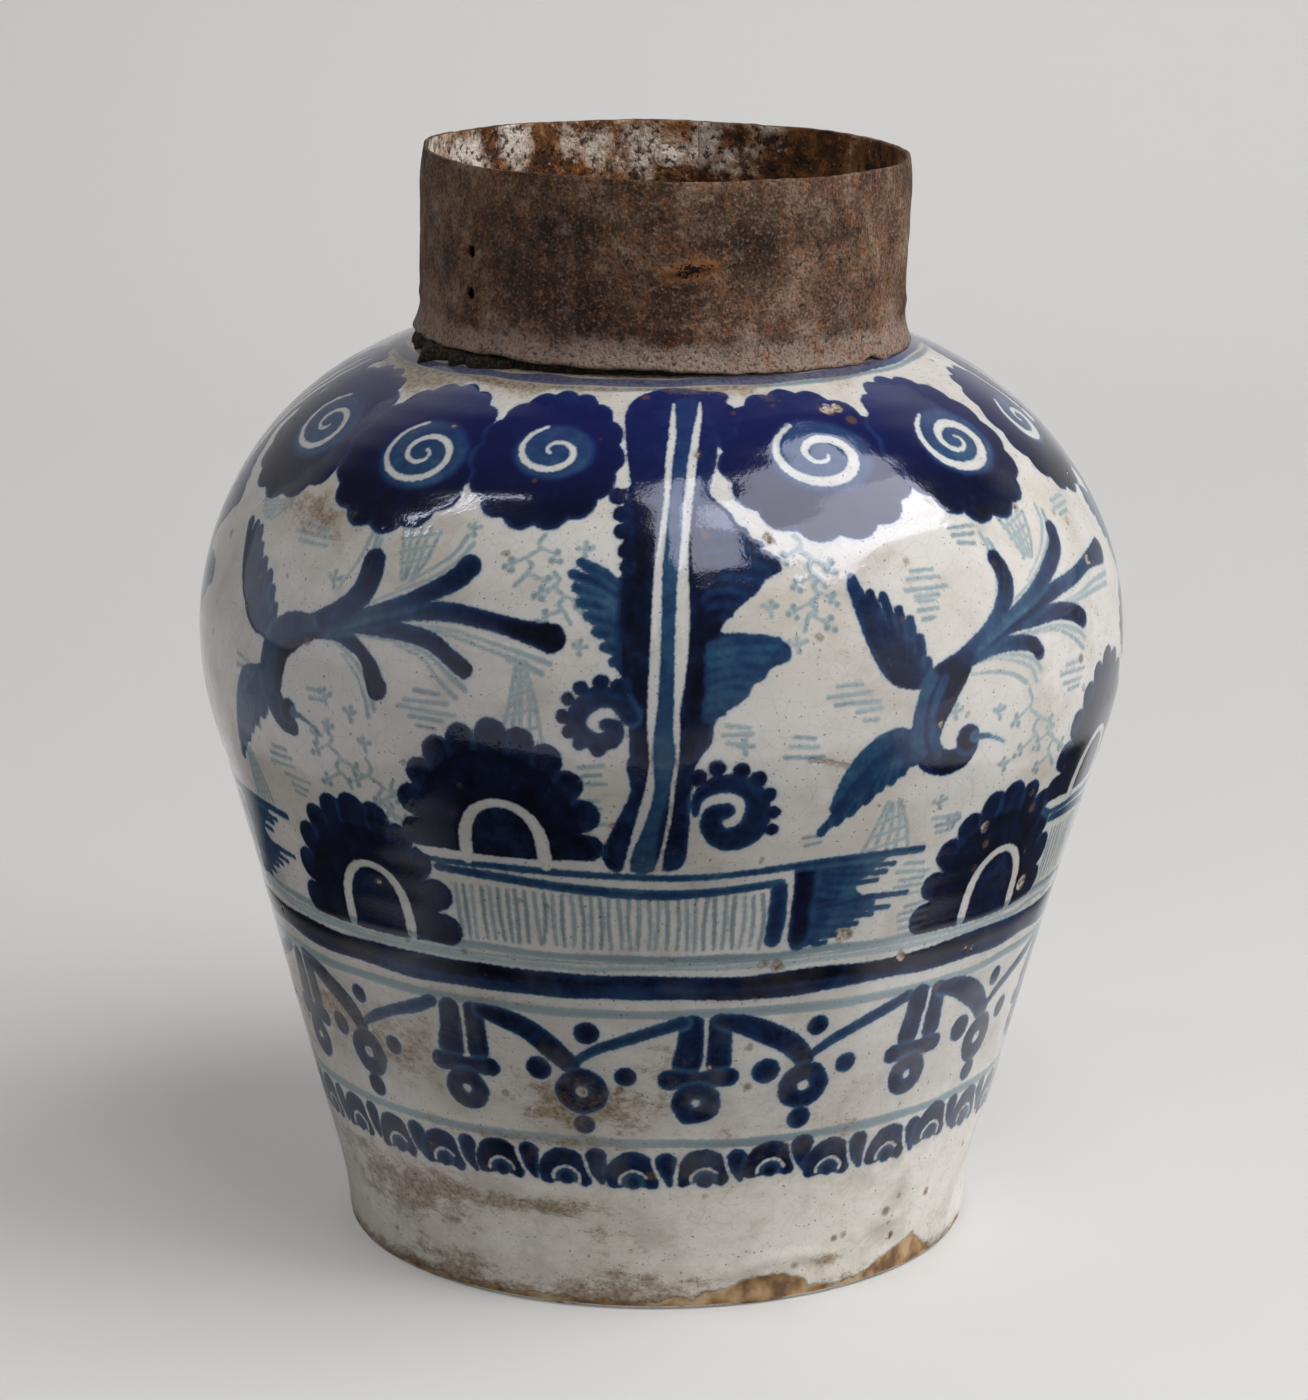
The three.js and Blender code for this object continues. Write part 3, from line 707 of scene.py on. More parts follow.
fillers = [
    dict(
        dashes=[(34, 267, (9, 13, 16, 9)), (33.6, 257, (6, 8, 5)), (22.2, 233, (8, 15, 10)),
                (24.6, 227, (7, 9, 5)), (16.5, 217, (7, 9, 13)), (58.5, 225, (10, 17, 13, 8)),
                (42.5, 279, (12, 9, 7)), (67, 279, (10, 14, 8)), (37, 182, (12, 9, 6)), (18.5, 182, (7, 5)),
                (33.5, 166, (8, 13, 10, 12, 9)), (35, 150, (9, 12, 12, 10)), (8.8, 222, (7, 9, 6))],
        twigs=[(17.5, 283, 9, 1), (19.5, 268, 8, -1), (48.6, 221, 11, 1), (53, 209, 9, 1)],
        nets=[(28.6, 172.5, 17, 19, True), (53, 279, 15, 15, False)],
        sprigs=[(45, 197), (36.3, 219), (43.2, 216), (35.4, 188), (38.2, 179.5), (13, 259), (16, 247),
                (9.5, 215)],
        echo=((0, 2, 1), (1, 2, 1), (2, 2, -1), (3, 2, -1), (4, 3, -1)),
    ),
    dict(
        dashes=[(40, 276, (12, 22, 15)), (62, 229, (9, 17, 21, 13, 7)), (37.5, 199, (9, 12, 15)),
                (40, 189, (14, 9, 6)), (82, 209, (8, 7, 8)), (81.6, 197, (6, 8, 7, 9)), (30, 226, (9, 8)),
                (45.5, 223, (8, 6))],
        twigs=[(75, 284, 9, -1), (76.8, 271, 8, 1), (47, 211, 10, 1), (53, 203, 10, 1), (57, 197, 8, -1)],
        nets=[(57.4, 282, 14, 18, False), (73.8, 216, 14, 24, True), (27.5, 281, 20, 8, False),
              (29, 174, 13, 20, True)],
        sprigs=[(47, 222), (51, 217.5), (47.4, 211.5), (45.2, 207.5), (53, 208), (65, 283.5), (73, 241),
                (80.5, 247), (80.4, 279), (46, 260)],
        echo=((0, 3, 1), (1, 2, 1), (2, 2, -1), (3, 2, -1), (4, 2, -1)),
    ),
]


def paintFillers(filler, bird, turn):
    for degrees, arc, lengths in filler["dashes"]:
        dashes(degrees, arc, lengths, turn, tilt=dice.normal(0, 0.3))
    for degrees, arc, size, way in filler["twigs"]:
        twig(degrees, arc, size, way, turn)
    for degrees, arc, width, height, up in filler["nets"]:
        net(degrees, arc, width, height, turn, up)
    for degrees, arc in filler["sprigs"]:
        sprig(degrees, arc, turn)
    for plume, count, side in filler["echo"]:
        echoes(bird["tail"][plume], count, side, turn)


# Level lines round the jar: middle, half width, tone, layer
bands = [
    (126, 4.8, 0.78, "cobalt"), (128, 2.6, 1.0, "cobalt"), (116.2, 1.9, 0.55, "wash"),
    (133.6, 1.1, 0.35, "wash"), (135.8, 0.8, 0.4, "wash"), (138.3, 1.5, 0.6, "wash"),
    (64.4, 1.9, 0.55, "wash"), (351.4, 2.9, 0.38, "cobalt"), (347, 1.2, 0.8, "wash"),
]


# A level line whose middle drifts and whose width swells as it goes round
def paintBand(middle, half, tone, layer, seed):
    near = np.abs(rows - middle) < half + 6
    places = np.stack([np.tile(ringX, (near.sum(), 1)), np.tile(ringY, (near.sum(), 1)),
                       np.tile(rows[near, None] / 150, (1, len(columns)))], -1) * 150
    drift = 0.8 * swell(places * [1, 1, 0], 150, seed) + 0.4 * swell(places * [1, 1, 0], 30, seed + 1)
    depth = half * (1 + 0.18 * swell(places, 45, seed + 2)) - np.abs(rows[near, None] - middle - drift)
    inked = tone * (1 + 0.25 * swell(places * [1, 1, 6], 70, seed + 3))
    where = np.ix_(np.flatnonzero(near), np.arange(len(columns)))
    lay(layer, where, depth, inked, rim=0.75)


def paintJar():
    for seed, band in enumerate(bands):
        paintBand(*band, seed * 10)
    for quarter in range(4):
        turn = 90 * quarter
        other = quarter % 2
        for number, (place, spiral) in enumerate(zip(clouds["places"], clouds["spirals"])):
            degrees, arc = clouds["moved"].get((quarter, number), (0, 0))
            place = (place[0] + degrees, place[1] + arc, *place[2:])
            spiral = (spiral[0] + degrees, spiral[1] + arc, *spiral[2:])
            paintCloud(place, spiral, turn, clouds["lineShare"][quarter])
        paintFeathers(leaves[0], turn)
        paintTrunk(turn)
        for leaf in leaves[1:]:
            paintFeathers(leaf, turn)
        for frond in fronds:
            paintFrond(frond, turn)
        paintBird(birds[other], turn)
        paintPlanter(turn)
        for dome in domes:
            paintDome(dome, turn)
        paintFillers(fillers[other], birds[other], turn)
    for number in range(pendants["count"]):
        paintPendants(number)
    for number in range(arches["count"]):
        paintArch(number)


paintJar()
print("painted the jar", flush=True)


# Wear: glaze chipped off to the clay, a firing crack and pin holes

wear = dict(
    chips=[[(3, 0), (6, 2), (9, 4.5), (13, 6), (17, 8.4), (21, 9.3), (25, 7.6), (27.5, 4.5), (27, 0),
            (20, -3), (10, -3)],
           [(40, 0), (43, 4.5), (47, 7), (50, 8.5), (52.5, 10.5), (55, 8.5), (57, 5), (59, 3), (60, 0),
            (50, -3)],
           [(-38, 0), (-35, 2.5), (-30, 2), (-27, 0), (-32, -3)],
           [(115, 0), (118, 5), (124, 6), (128, 0), (121, -3)],
           [(196, 0), (201, 7), (207, 4), (210, 0), (202, -3)],
           [(257, 0), (262, 4), (268, 3), (270, 0), (264, -3)]],
    # degree, mm up, radius
    spots=[(31.3, 332, 2.6), (33.0, 331.4, 2.0), (24.6, 142.6, 2.0), (15.7, 133.5, 1.4), (13.9, 135.3, 1.0),
           (34.5, 129.5, 1.6), (44.8, 174.2, 1.9), (58, 144, 2.4), (13.8, 283, 1.2), (14.3, 281, 0.9),
           (68.3, 255.5, 1.7)],
    crack=[(17.3, 209.2, 0.35), (18.8, 208.8, 0.3), (20.1, 208, 0.45), (21.8, 206.6, 0.35)],
    footEdge=(1.5, 1.3),  # how far up the glaze was wiped from the foot, and how unevenly
    pits=130, pitSize=(0.3, 0.75),
    ridges=[[(13, 11, 2.4), (17, 14, 2.6), (22, 15.5, 2.6), (28, 14.5, 2.6), (33, 11, 2.2)],
            [(38, 17, 2), (42, 20, 2.4), (47, 20, 2)]],
)
for chip in wear["chips"]:
    fill(chip, layer="bare")
for spot in wear["spots"]:
    brush([spot], 0, "bare")
brush(wear["crack"], 0, "bare", shake=0)
for _ in range(wear["pits"]):
    brush([(dice.uniform(0, 360), dice.uniform(2, 345), dice.uniform(*wear["pitSize"]))], 0, "bare", shake=0)
footRing = np.stack([ringX, ringY, 0 * ringX], -1) * 110
wiped = wear["footEdge"][0] + wear["footEdge"][1] * swell(footRing, 14, 58)
paper["bare"] = np.maximum(paper["bare"], wiped - rows[:, None])

# Grime: middle in degrees and millimetres up, half sizes, strength. It is thickest low on the left and under
# the collar.
grime = dict(patches=[
    (-55, 38, 14, 12, 0.5), (-45, 24, 16, 10, 0.42), (-28, 36, 15, 7, 0.45), (-14, 37, 10, 4, 0.35),
    (-38, 8, 18, 6, 0.5), (-8, 27, 8, 4, 0.2), (6, 8, 14, 4, 0.35), (31, 12, 5, 4, 0.55),
    (60, 9, 8, 6, 0.4), (-24, 63, 20, 3, 0.4), (-42, 92, 16, 18, 0.5), (-12, 78, 12, 12, 0.4),
    (-25, 118, 30, 3, 0.35), (-38, 132, 12, 5, 0.4), (-52, 281, 9, 9, 0.5), (-50, 340, 12, 8, 0.7),
    (-28, 342, 7, 8, 0.5), (-45, 352, 32, 7, 0.9), (-8, 353, 20, 5, 0.6), (-56, 104, 8, 14, 0.35),
    (-90, 356, 60, 5, 0.9), (-35, 358, 14, 4, 0.8), (-60, 348, 22, 6, 0.5), (38, 353, 12, 4, 0.8),
    (55, 354, 10, 4, 0.6), (10, 349, 6, 5, 0.6), (26, 350, 10, 3, 0.4), (-15, 351, 14, 4, 0.5),
    (18, 262, 5, 14, 0.1), (100, 30, 20, 12, 0.5), (150, 12, 25, 8, 0.5), (190, 45, 16, 9, 0.5),
    (240, 28, 22, 12, 0.6), (265, 70, 16, 14, 0.3), (130, 90, 18, 14, 0.25), (215, 120, 30, 4, 0.35),
    (170, 348, 25, 6, 0.5), (90, 349, 20, 4, 0.4), (230, 348, 16, 6, 0.5),
])

places = np.stack([rowRadius[:, None] * ringX, rowRadius[:, None] * ringY,
                   np.repeat(rowHeight[:, None], len(columns), 1)], -1)
up = rows[:, None]
# a thin uneven film all over, more under the collar, then more at the foot and on the lowest third
stain = (
    0.22 * swell(places, 60, 62)
    + 0.5 * smooth(swell(places, 24, 61), 0, 1.2) * smooth(up, 332, 346)
    + 0.55 * smooth(up, 344, 356)
)
stain += 0.5 * smooth(-up, -7, -1) + 0.14 * smooth(-up, -120, -100)
for degrees, arc, halfDegrees, halfUp, strength in grime["patches"]:
    off = ((columns - degrees + 180) % 360 - 180)[None] / halfDegrees
    stain += strength * np.exp(-off ** 2 - ((up - arc) / halfUp) ** 2)

# Relief in millimetres: paint stands proud, chips and pits are sunk, and the wall keeps faint rings of
# throwing and the slow unevenness of a thing made by hand
relief = (
    0.08 * smooth(paper["cobalt"], -0.7, 1.3) * (0.6 + 0.4 * tones["cobalt"])
    + 0.07 * smooth(paper["wash"], -0.4, 0.6)
    - 0.5 * smooth(paper["bare"], -0.3, 0.8)
    + 0.035 * np.sin(2 * np.pi * up / 10.5 + swell(places, 90, 63)) * smooth(up, 8, 30)
    + 0.55 * swell(places, 130, 71) * smooth(up, 5, 50)
    + 0.12 * swell(places, 28, 72) * smooth(up, 5, 50)
)
for ridge in wear["ridges"]:  # where the thick glaze has run and stopped
    where, depth, *_ = reach(curve(np.array([(*point, 0) for point in ridge]), 5))
    relief[where] += 0.7 * smooth(depth, -1.5, 2.5)
outward = np.stack([rowSlope[:, 1, None] * ringX, rowSlope[:, 1, None] * ringY,
                    np.repeat(-rowSlope[:, :1], len(columns), 1)], -1)
wallPlaces = places + outward * relief[..., None]
# the belly stands 1.5 mm to the right of the foot and of the neck
wallPlaces[..., 0] += 1.5 * smooth(rowHeight, 20, 190)[:, None] * smooth(-rowHeight, -330, -250)[:, None]
wallNormals = gridNormals(wallPlaces)
wallFields = dict(
    cobalt=paper["cobalt"], cobaltTone=tones["cobalt"], wash=paper["wash"], washTone=tones["wash"],
    bare=paper["bare"], stain=stain,
)


# Glaze: thick and white, glossy but a little uneven. The cobalt has sunk into it, near black where it was
# laid thick and a thinner, bluer colour towards the rim of a stroke.
def glazeMaterial():
    material, tree, shader = newMaterial("Tin glaze on earthenware, brush-painted in cobalt and fired glossy")
    place = add(tree, "TexCoord").outputs["Object"]
    height = add(tree, "SeparateXYZ", {"Vector": place}).outputs["Z"]
    field = {
        name: add(tree, "Attribute", attribute_name=name).outputs["Fac"]
        for name in ("cobalt", "cobaltTone", "wash", "washTone", "bare", "stain")
    }
    grain = {}  # noise by the size of its lumps in millimetres
    for name, size, detail in (("edge", 1.7, 2), ("mottle", 7, 4), ("blotch", 42, 4), ("speck", 1.3, 1),
                               ("dirt", 18, 8), ("peel", 5, 3), ("brushed", 2.2, 3), ("flaked", 5, 5)):
        grain[name] = add(tree, "TexNoise", {"Vector": place, "Scale": 1000 / size,
                                             "Detail": detail}).outputs["Fac"]
    ragged = add(tree, "MapRange", {"Value": grain["edge"], "From Min": 0.25, "From Max": 0.75,
                                    "To Min": -0.28, "To Max": 0.28}).outputs[0]
    depth, cover = {}, {}
    for name in ("cobalt", "wash", "bare"):
        depth[name] = add(tree, "Math", {0: field[name], 1: ragged}, operation="ADD").outputs[0]
    depth["bare"] = add(tree, "Math", {0: grain["flaked"], 1: 5, 2: depth["bare"]},
                        operation="MULTIPLY_ADD").outputs[0]
    for name, source, low, high, most in (
        ("cobalt", depth["cobalt"], -0.4, 0.6, 1), ("halo", depth["cobalt"], -1.9, 0.1, 0.42),
        ("wash", depth["wash"], -0.45, 0.65, 0.85),
        ("bare", depth["bare"], 2.4, 2.85, 1), ("scorch", depth["bare"], 1.3, 2.5, 0.5),
        ("speck", grain["speck"], 0.69, 0.76, 0.7), ("dirt", grain["dirt"], 0.48, 0.78, 0.4),
        ("foot", height, 0.08, 0.035, 1), ("violet", height, 0.27, 0.31, 0.58),
        ("haze", height, 0.16, 0.08, 0.15), ("rubbed", grain["dirt"], 0.46, 0.66, 1),
    ):
        cover[name] = add(tree, "MapRange", {"Value": source, "From Min": low, "From Max": high,
                                             "To Max": most},
                          interpolation_type="SMOOTHSTEP").outputs[0]
    cover["haze"] = add(tree, "Math", {0: cover["haze"], 1: cover["rubbed"]}, operation="MULTIPLY").outputs[0]
    # brown specks up to 2 mm across, one in a cell of 16 mm, most of them very small
    spots = add(tree, "TexVoronoi", {"Vector": place, "Scale": 1000 / 16})
    chance = add(tree, "SeparateColor", {"Color": spots.outputs["Color"]}).outputs["Red"]
    reachOut = add(tree, "MapRange", {"Value": chance, "From Min": 0.2, "From Max": 1,
                                      "To Max": 0.16}).outputs[0]
    inSpot = add(tree, "Math", {0: reachOut, 1: spots.outputs["Distance"]}, operation="SUBTRACT").outputs[0]
    cover["spot"] = add(tree, "MapRange", {"Value": inSpot, "From Min": -0.02, "From Max": 0.08,
                                           "To Max": 0.75},
                        interpolation_type="SMOOTHSTEP").outputs[0]
    # grime sits in scratches and pores: a rough noise, longer round the jar than up it, on the stained places
    streaked = add(tree, "VectorMath", {0: place, 1: (1, 1, 1.7)}, operation="MULTIPLY").outputs[0]
    streaks = add(tree, "TexNoise", {"Vector": streaked, "Scale": 1000 / 10, "Detail": 12,
                                     "Roughness": 0.82}).outputs["Fac"]
    held = add(tree, "Math", {0: streaks, 1: 2.2, 2: field["stain"]}, operation="MULTIPLY_ADD").outputs[0]
    cover["grime"] = add(tree, "MapRange", {"Value": held, "From Min": 1.5, "From Max": 1.78,
                                            "To Max": 0.8}).outputs[0]
    onPaint = add(tree, "MapRange", {"Value": field["cobalt"], "From Min": -0.6, "From Max": 0.6,
                                     "To Min": 1, "To Max": 0.3}).outputs[0]
    cover["grime"] = add(tree, "Math", {0: cover["grime"], 1: onPaint}, operation="MULTIPLY").outputs[0]
    cover["veil"] = add(tree, "MapRange", {"Value": held, "From Min": 1.1, "From Max": 1.8,
                                           "To Max": 0.45}).outputs[0]
    grimeColour = add(tree, "ValToRGB", {"Fac": grain["edge"]},
                      stops=[(0.35, "#635343"), (0.6, "#97866f")]).outputs[0]
    # crackle: fine lines between cells about 7 mm wide, bent by noise, and seen only here and there
    bent = add(tree, "TexNoise", {"Vector": place, "Scale": 1000 / 12, "Detail": 3}).outputs["Color"]
    bent = add(tree, "VectorMath", {0: bent, 1: (0.004,) * 3, 2: place}, operation="MULTIPLY_ADD").outputs[0]
    cells = add(tree, "TexVoronoi", {"Vector": bent, "Scale": 1000 / 7},
                feature="DISTANCE_TO_EDGE").outputs["Distance"]
    crackle = add(tree, "MapRange", {"Value": cells, "From Min": 0.035, "From Max": 0.008,
                                     "To Max": 0.18}).outputs[0]
    crackle = add(tree, "Math", {0: crackle, 1: grain["blotch"]}, operation="MULTIPLY").outputs[0]
    # thickness of the paint, with brush marks and mottling
    tone = field["cobaltTone"]
    for name, strength in (("mottle", 0.5), ("brushed", 0.22)):
        around = add(tree, "Math", {0: grain[name], 1: 0.5}, operation="SUBTRACT").outputs[0]
        tone = add(tree, "Math", {0: around, 1: strength, 2: tone}, operation="MULTIPLY_ADD").outputs[0]
    ink = add(tree, "ValToRGB", {"Fac": tone}, stops=[
        (0.0, "#8098a4"), (0.2, "#48677c"), (0.38, "#2c4d68"), (0.55, "#1d3759"), (0.7, "#152748"),
        (0.85, "#0b142d"), (1.0, "#040714"),
    ]).outputs[0]
    ink = add(tree, "Mix", {0: cover["violet"], 6: ink, 7: linear("#19205e")}, data_type="RGBA").outputs[2]
    washInk = add(tree, "ValToRGB", {"Fac": field["washTone"]},
                  stops=[(0.2, "#9fafb3"), (0.6, "#68818c"), (1, "#3f5868")]).outputs[0]
    # clay: tan at the foot, greyer in the pits higher up
    clay = add(tree, "ValToRGB", {"Fac": grain["mottle"]},
               stops=[(0.35, "#6b5035"), (0.47, "#94734b"), (0.62, "#b59b77")]).outputs[0]
    greyClay = add(tree, "ValToRGB", {"Fac": grain["edge"]},
                   stops=[(0.35, "#655a4d"), (0.6, "#aca293")]).outputs[0]
    clay = add(tree, "Mix", {0: cover["foot"], 6: greyClay, 7: clay}, data_type="RGBA").outputs[2]
    colour = add(tree, "ValToRGB", {"Fac": grain["blotch"]},
                 stops=[(0.3, "#bdb8b0"), (0.55, "#cdcac6"), (0.75, "#c6c5c2")]).outputs[0]
    for factor, over in (
        (cover["foot"], linear("#ddd9d1")), (cover["dirt"], linear("#95897a")),
        (cover["veil"], linear("#9d8e79")), (cover["halo"], linear("#aab9c6")), (cover["wash"], washInk),
        (cover["speck"], linear("#62584c")), (crackle, linear("#5f564a")), (cover["cobalt"], ink),
        (cover["haze"], linear("#948d84")), (cover["spot"], linear("#5b4636")),
        (cover["grime"], grimeColour), (cover["scorch"], linear("#54402f")), (cover["bare"], clay),
    ):
        colour = add(tree, "Mix", {0: factor, 6: colour, 7: over}, data_type="RGBA").outputs[2]
    tree.links.new(colour, shader.inputs["Base Color"])
    gloss = add(tree, "MapRange", {"Value": grain["mottle"], "From Min": 0.3, "From Max": 0.75,
                                   "To Min": 0.07, "To Max": 0.13}).outputs[0]
    rough = add(tree, "Mix", {0: cover["bare"], 2: gloss, 3: 0.85}).outputs[0]
    tree.links.new(rough, shader.inputs["Roughness"])
    shader.inputs["IOR"].default_value = 1.62
    shader.inputs["Specular Tint"].default_value = linear("#e0e2f8")
    normal = add(tree, "Bump", {"Height": grain["peel"], "Strength": 0.5, "Distance": 0.00006}).outputs[0]
    normal = add(tree, "Bump", {"Height": grain["speck"], "Strength": 0.3, "Distance": 0.00008,
                                "Normal": normal}).outputs[0]
    tree.links.new(normal, shader.inputs["Normal"])
    return material


glaze = glazeMaterial()
zones = dict(foot=0, pendant_border=67, planters=131, birds=197, clouds=262, neck_band=327)
cuts = [int(np.searchsorted(rows, start)) for start in zones.values()] + [len(rows) - 1]
for name, low, high in zip(zones, cuts, cuts[1:]):
    part = slice(low, high + 1)
    fields = {key: values[part] for key, values in wallFields.items()}
    mesh = gridMesh("wall_" + name, wallPlaces[part], fields=fields, normals=wallNormals[part], folds=4)
    finishPiece(mesh, glaze, ["jar_body"])
print("built the wall", flush=True)


# The neck, the inside and the underside, on every fourth column of the wall
coarse = slice(None, None, 4)


def turned(path, step):  # a ring grid from a path of (radius, height), with points a step apart
    path = np.array(path, float)
    length = np.r_[0, np.cumsum(np.hypot(*np.diff(path, axis=0).T))]
    at = np.linspace(0, length[-1], int(length[-1] / step))
    radius, height = (np.interp(at, length, path[:, i])[:, None] for i in (0, 1))
    return np.stack([radius * ringX[coarse], radius * ringY[coarse], height + 0 * ringX[coarse]], -1), at


def plainFields(shape, bare, stained):  # unpainted glaze
    away = np.full(shape, -9.0)
    none = away * 0
    return dict(cobalt=away, cobaltTone=none, wash=away, washTone=none, bare=away + bare,
                stain=none + stained)


root = profile[-1]
neckInner = jar["neckRadius"] - jar["wall"]
outwards = np.stack([slope[:, 1], -slope[:, 0]], -1)
inside = profile - jar["wall"] * outwards / np.linalg.norm(slope, axis=1, keepdims=True)
aboveFloor = inside[:, 1] > 2 * jar["baseThickness"]
belowNeck = (inside[:, 1] < root[1] - 5) & (inside[:, 0] > neckInner)
inside = inside[aboveFloor & belowNeck]
lip = np.linspace(0, np.pi, 13)
lipMiddle, lipHalf = (jar["neckRadius"] + neckInner) / 2, jar["wall"] / 2
lining, liningAt = turned([
    root,
    *[(lipMiddle + lipHalf * np.cos(a), jar["neckTop"] - jar["neckLip"] + jar["neckLip"] * np.sin(a))
      for a in lip],
    (neckInner, root[1] - 5), *inside[::-1],
    (jar["footRadius"] - 2 * jar["wall"], jar["baseThickness"]), (0.6, jar["baseThickness"]),
], 3.5)
# rings of throwing 16 mm apart, between the neck and the floor, and a slow unevenness
thrown = (
    0.45 * np.sin(2 * np.pi * liningAt / 16) * smooth(liningAt, 90, 130) * smooth(-liningAt, -500, -440)
)[:, None]
towards = gridNormals(lining)
lining = lining - towards * thrown[..., None] + 0.2 * swell(lining, 60, 81)[..., None] * towards
lining[0] = wallPlaces[-1, coarse]
fields = plainFields(lining.shape[:2], 0, 0.2 + 0.25 * swell(lining, 30, 82))
finishPiece(gridMesh("neck_and_inside", lining, fields=fields, cap=[-1]), glaze, ["jar_body"])

ringInner = jar["footRadius"] - jar["footEdge"] - jar["restingRing"]
underside, _ = turned([
    (0.6, jar["baseRecess"]), (ringInner - jar["baseRecess"], jar["baseRecess"]), (ringInner, 0.0),
    (jar["footRadius"] - jar["footEdge"], 0.0), (jar["footRadius"], jar["footEdge"]),
], 1.5)
underside[..., 2] += 0.15 + 0.15 * swell(underside, 12, 83).clip(-1, 1)
underside[-1] = wallPlaces[0, coarse]
away = np.hypot(underside[..., 0], underside[..., 1])
bareClay = 9 + (3 - np.abs(away - ringInner - 12) / 3 + 1.5 * swell(underside, 20, 84)).clip(-3, 3)
fields = plainFields(underside.shape[:2], bareClay, 0.3 + 0.3 * swell(underside, 40, 85))
finishPiece(gridMesh("underside", underside, fields=fields, cap=[0]), glaze, ["jar_body"])


# The iron collar

collar = dict(
    radius=jar["neckRadius"] + 6.5,  # outside, over 4.9 mm of pitch and the sheet itself
    height=62, sheet=1.6,
    drawIn=0.8, drawHeight=13, flare=2.4, flareHeight=9.5,
    lift=2.4, offset=2.3, tilt=1.2, lap=24, joggle=12, gap=0.3,
    holes=[(-50, 33.5), (-50, 19.5)], holeRadius=2.2, cell=1.0,
    # how far the lower edge rises above or drops below its level, by degrees from the front
    edge=[(-180, 0.3), (-120, -0.4), (-78, 0.0), (-55, 0.4), (-41, 0.8), (-31, 0.1), (-17, 0.4), (-6, 0.9),
          (0, 0.5), (12, -0.4), (22, -0.9), (43, -1.1), (50, -1.2), (53, 0.4), (55, 0.9), (57, -0.9),
          (62, -1.3), (80, -1.0), (120, 0.6), (180, 0.3)],
    # degree, height, size, depth
    dents=[(-30, 44, 14, 1.0), (20, 30, 16, 0.9), (62, 40, 12, 0.8), (-70, 20, 12, 0.8), (140, 35, 16, 1.2),
           (-130, 30, 14, 1.0)],
    # dark and pale places in the skin outside, and pale crusts inside: degree, height, size, strength
    darker=[(-22, 45, 15, 0.8), (-20, 14, 16, 1.0), (-35, 27, 13, 0.9), (-2, 18, 12, 0.6),
            (17, 40, 12, 0.7), (40, 15, 11, 0.5), (150, 30, 18, 0.8), (-140, 40, 16, 0.8),
            (100, 16, 14, 0.7)],
    paler=[(-52, 29, 9, 0.6), (-72, 12, 13, 0.8), (27, 27, 11, 0.5), (55, 42, 13, 0.5), (62, 9, 14, 0.9),
           (30, 3, 14, 0.5), (-20, 57, 5, 0.6), (125, 45, 14, 0.6), (-110, 14, 16, 0.7),
           (180, 10, 14, 0.6)],
    crusts=[(-96, 56, 12, 1.1), (-118, 52, 14, 1.0), (-138, 57, 9, 1.0), (-158, 54, 12, 0.8),
            (-176, 50, 13, 0.7), (165, 52, 12, 0.8), (152, 60, 6, 0.6), (-100, 30, 14, 0.7),
            (60, 40, 16, 0.7), (0, 35, 20, 0.7)],
    # a flake lifted from the sheet: degree, height, half length, half width, rise
    scar=(5.8, 33, 11, 4.0, 0.9),
)
shoulderCentre = jar["bellyRadius"] - jar["shoulderWidth"]


def shoulderHeight(radius):  # up to the shoulder's ellipse at a radius
    share = (radius - shoulderCentre) / jar["shoulderWidth"]
    return jar["bellyHeight"] + jar["shoulderRise"] * np.sqrt(1 - share ** 2)


collarBottom = shoulderHeight(collar["radius"]) + collar["lift"]


def onCollar(degrees, height, radius):  # a place in the collar's own leaning frame, as a place on the jar
    lean = collar["tilt"] * degree
    x, y, z = radius * np.sin(degrees * degree), -radius * np.cos(degrees * degree), height
    return np.stack([x * np.cos(lean) + z * np.sin(lean) + collar["offset"], y + 0 * z,
                     -x * np.sin(lean) + z * np.cos(lean) + collarBottom], -1)


# Turned out towards the lower edge and drawn in towards the rim, each with the square of the height
def collarRadius(height):
    out = collar["flare"] * np.maximum(0, 1 - height / collar["flareHeight"]) ** 2
    drawn = np.maximum(0, height - collar["height"] + collar["drawHeight"]) / collar["drawHeight"]
    return collar["radius"] + out - collar["drawIn"] * drawn ** 2


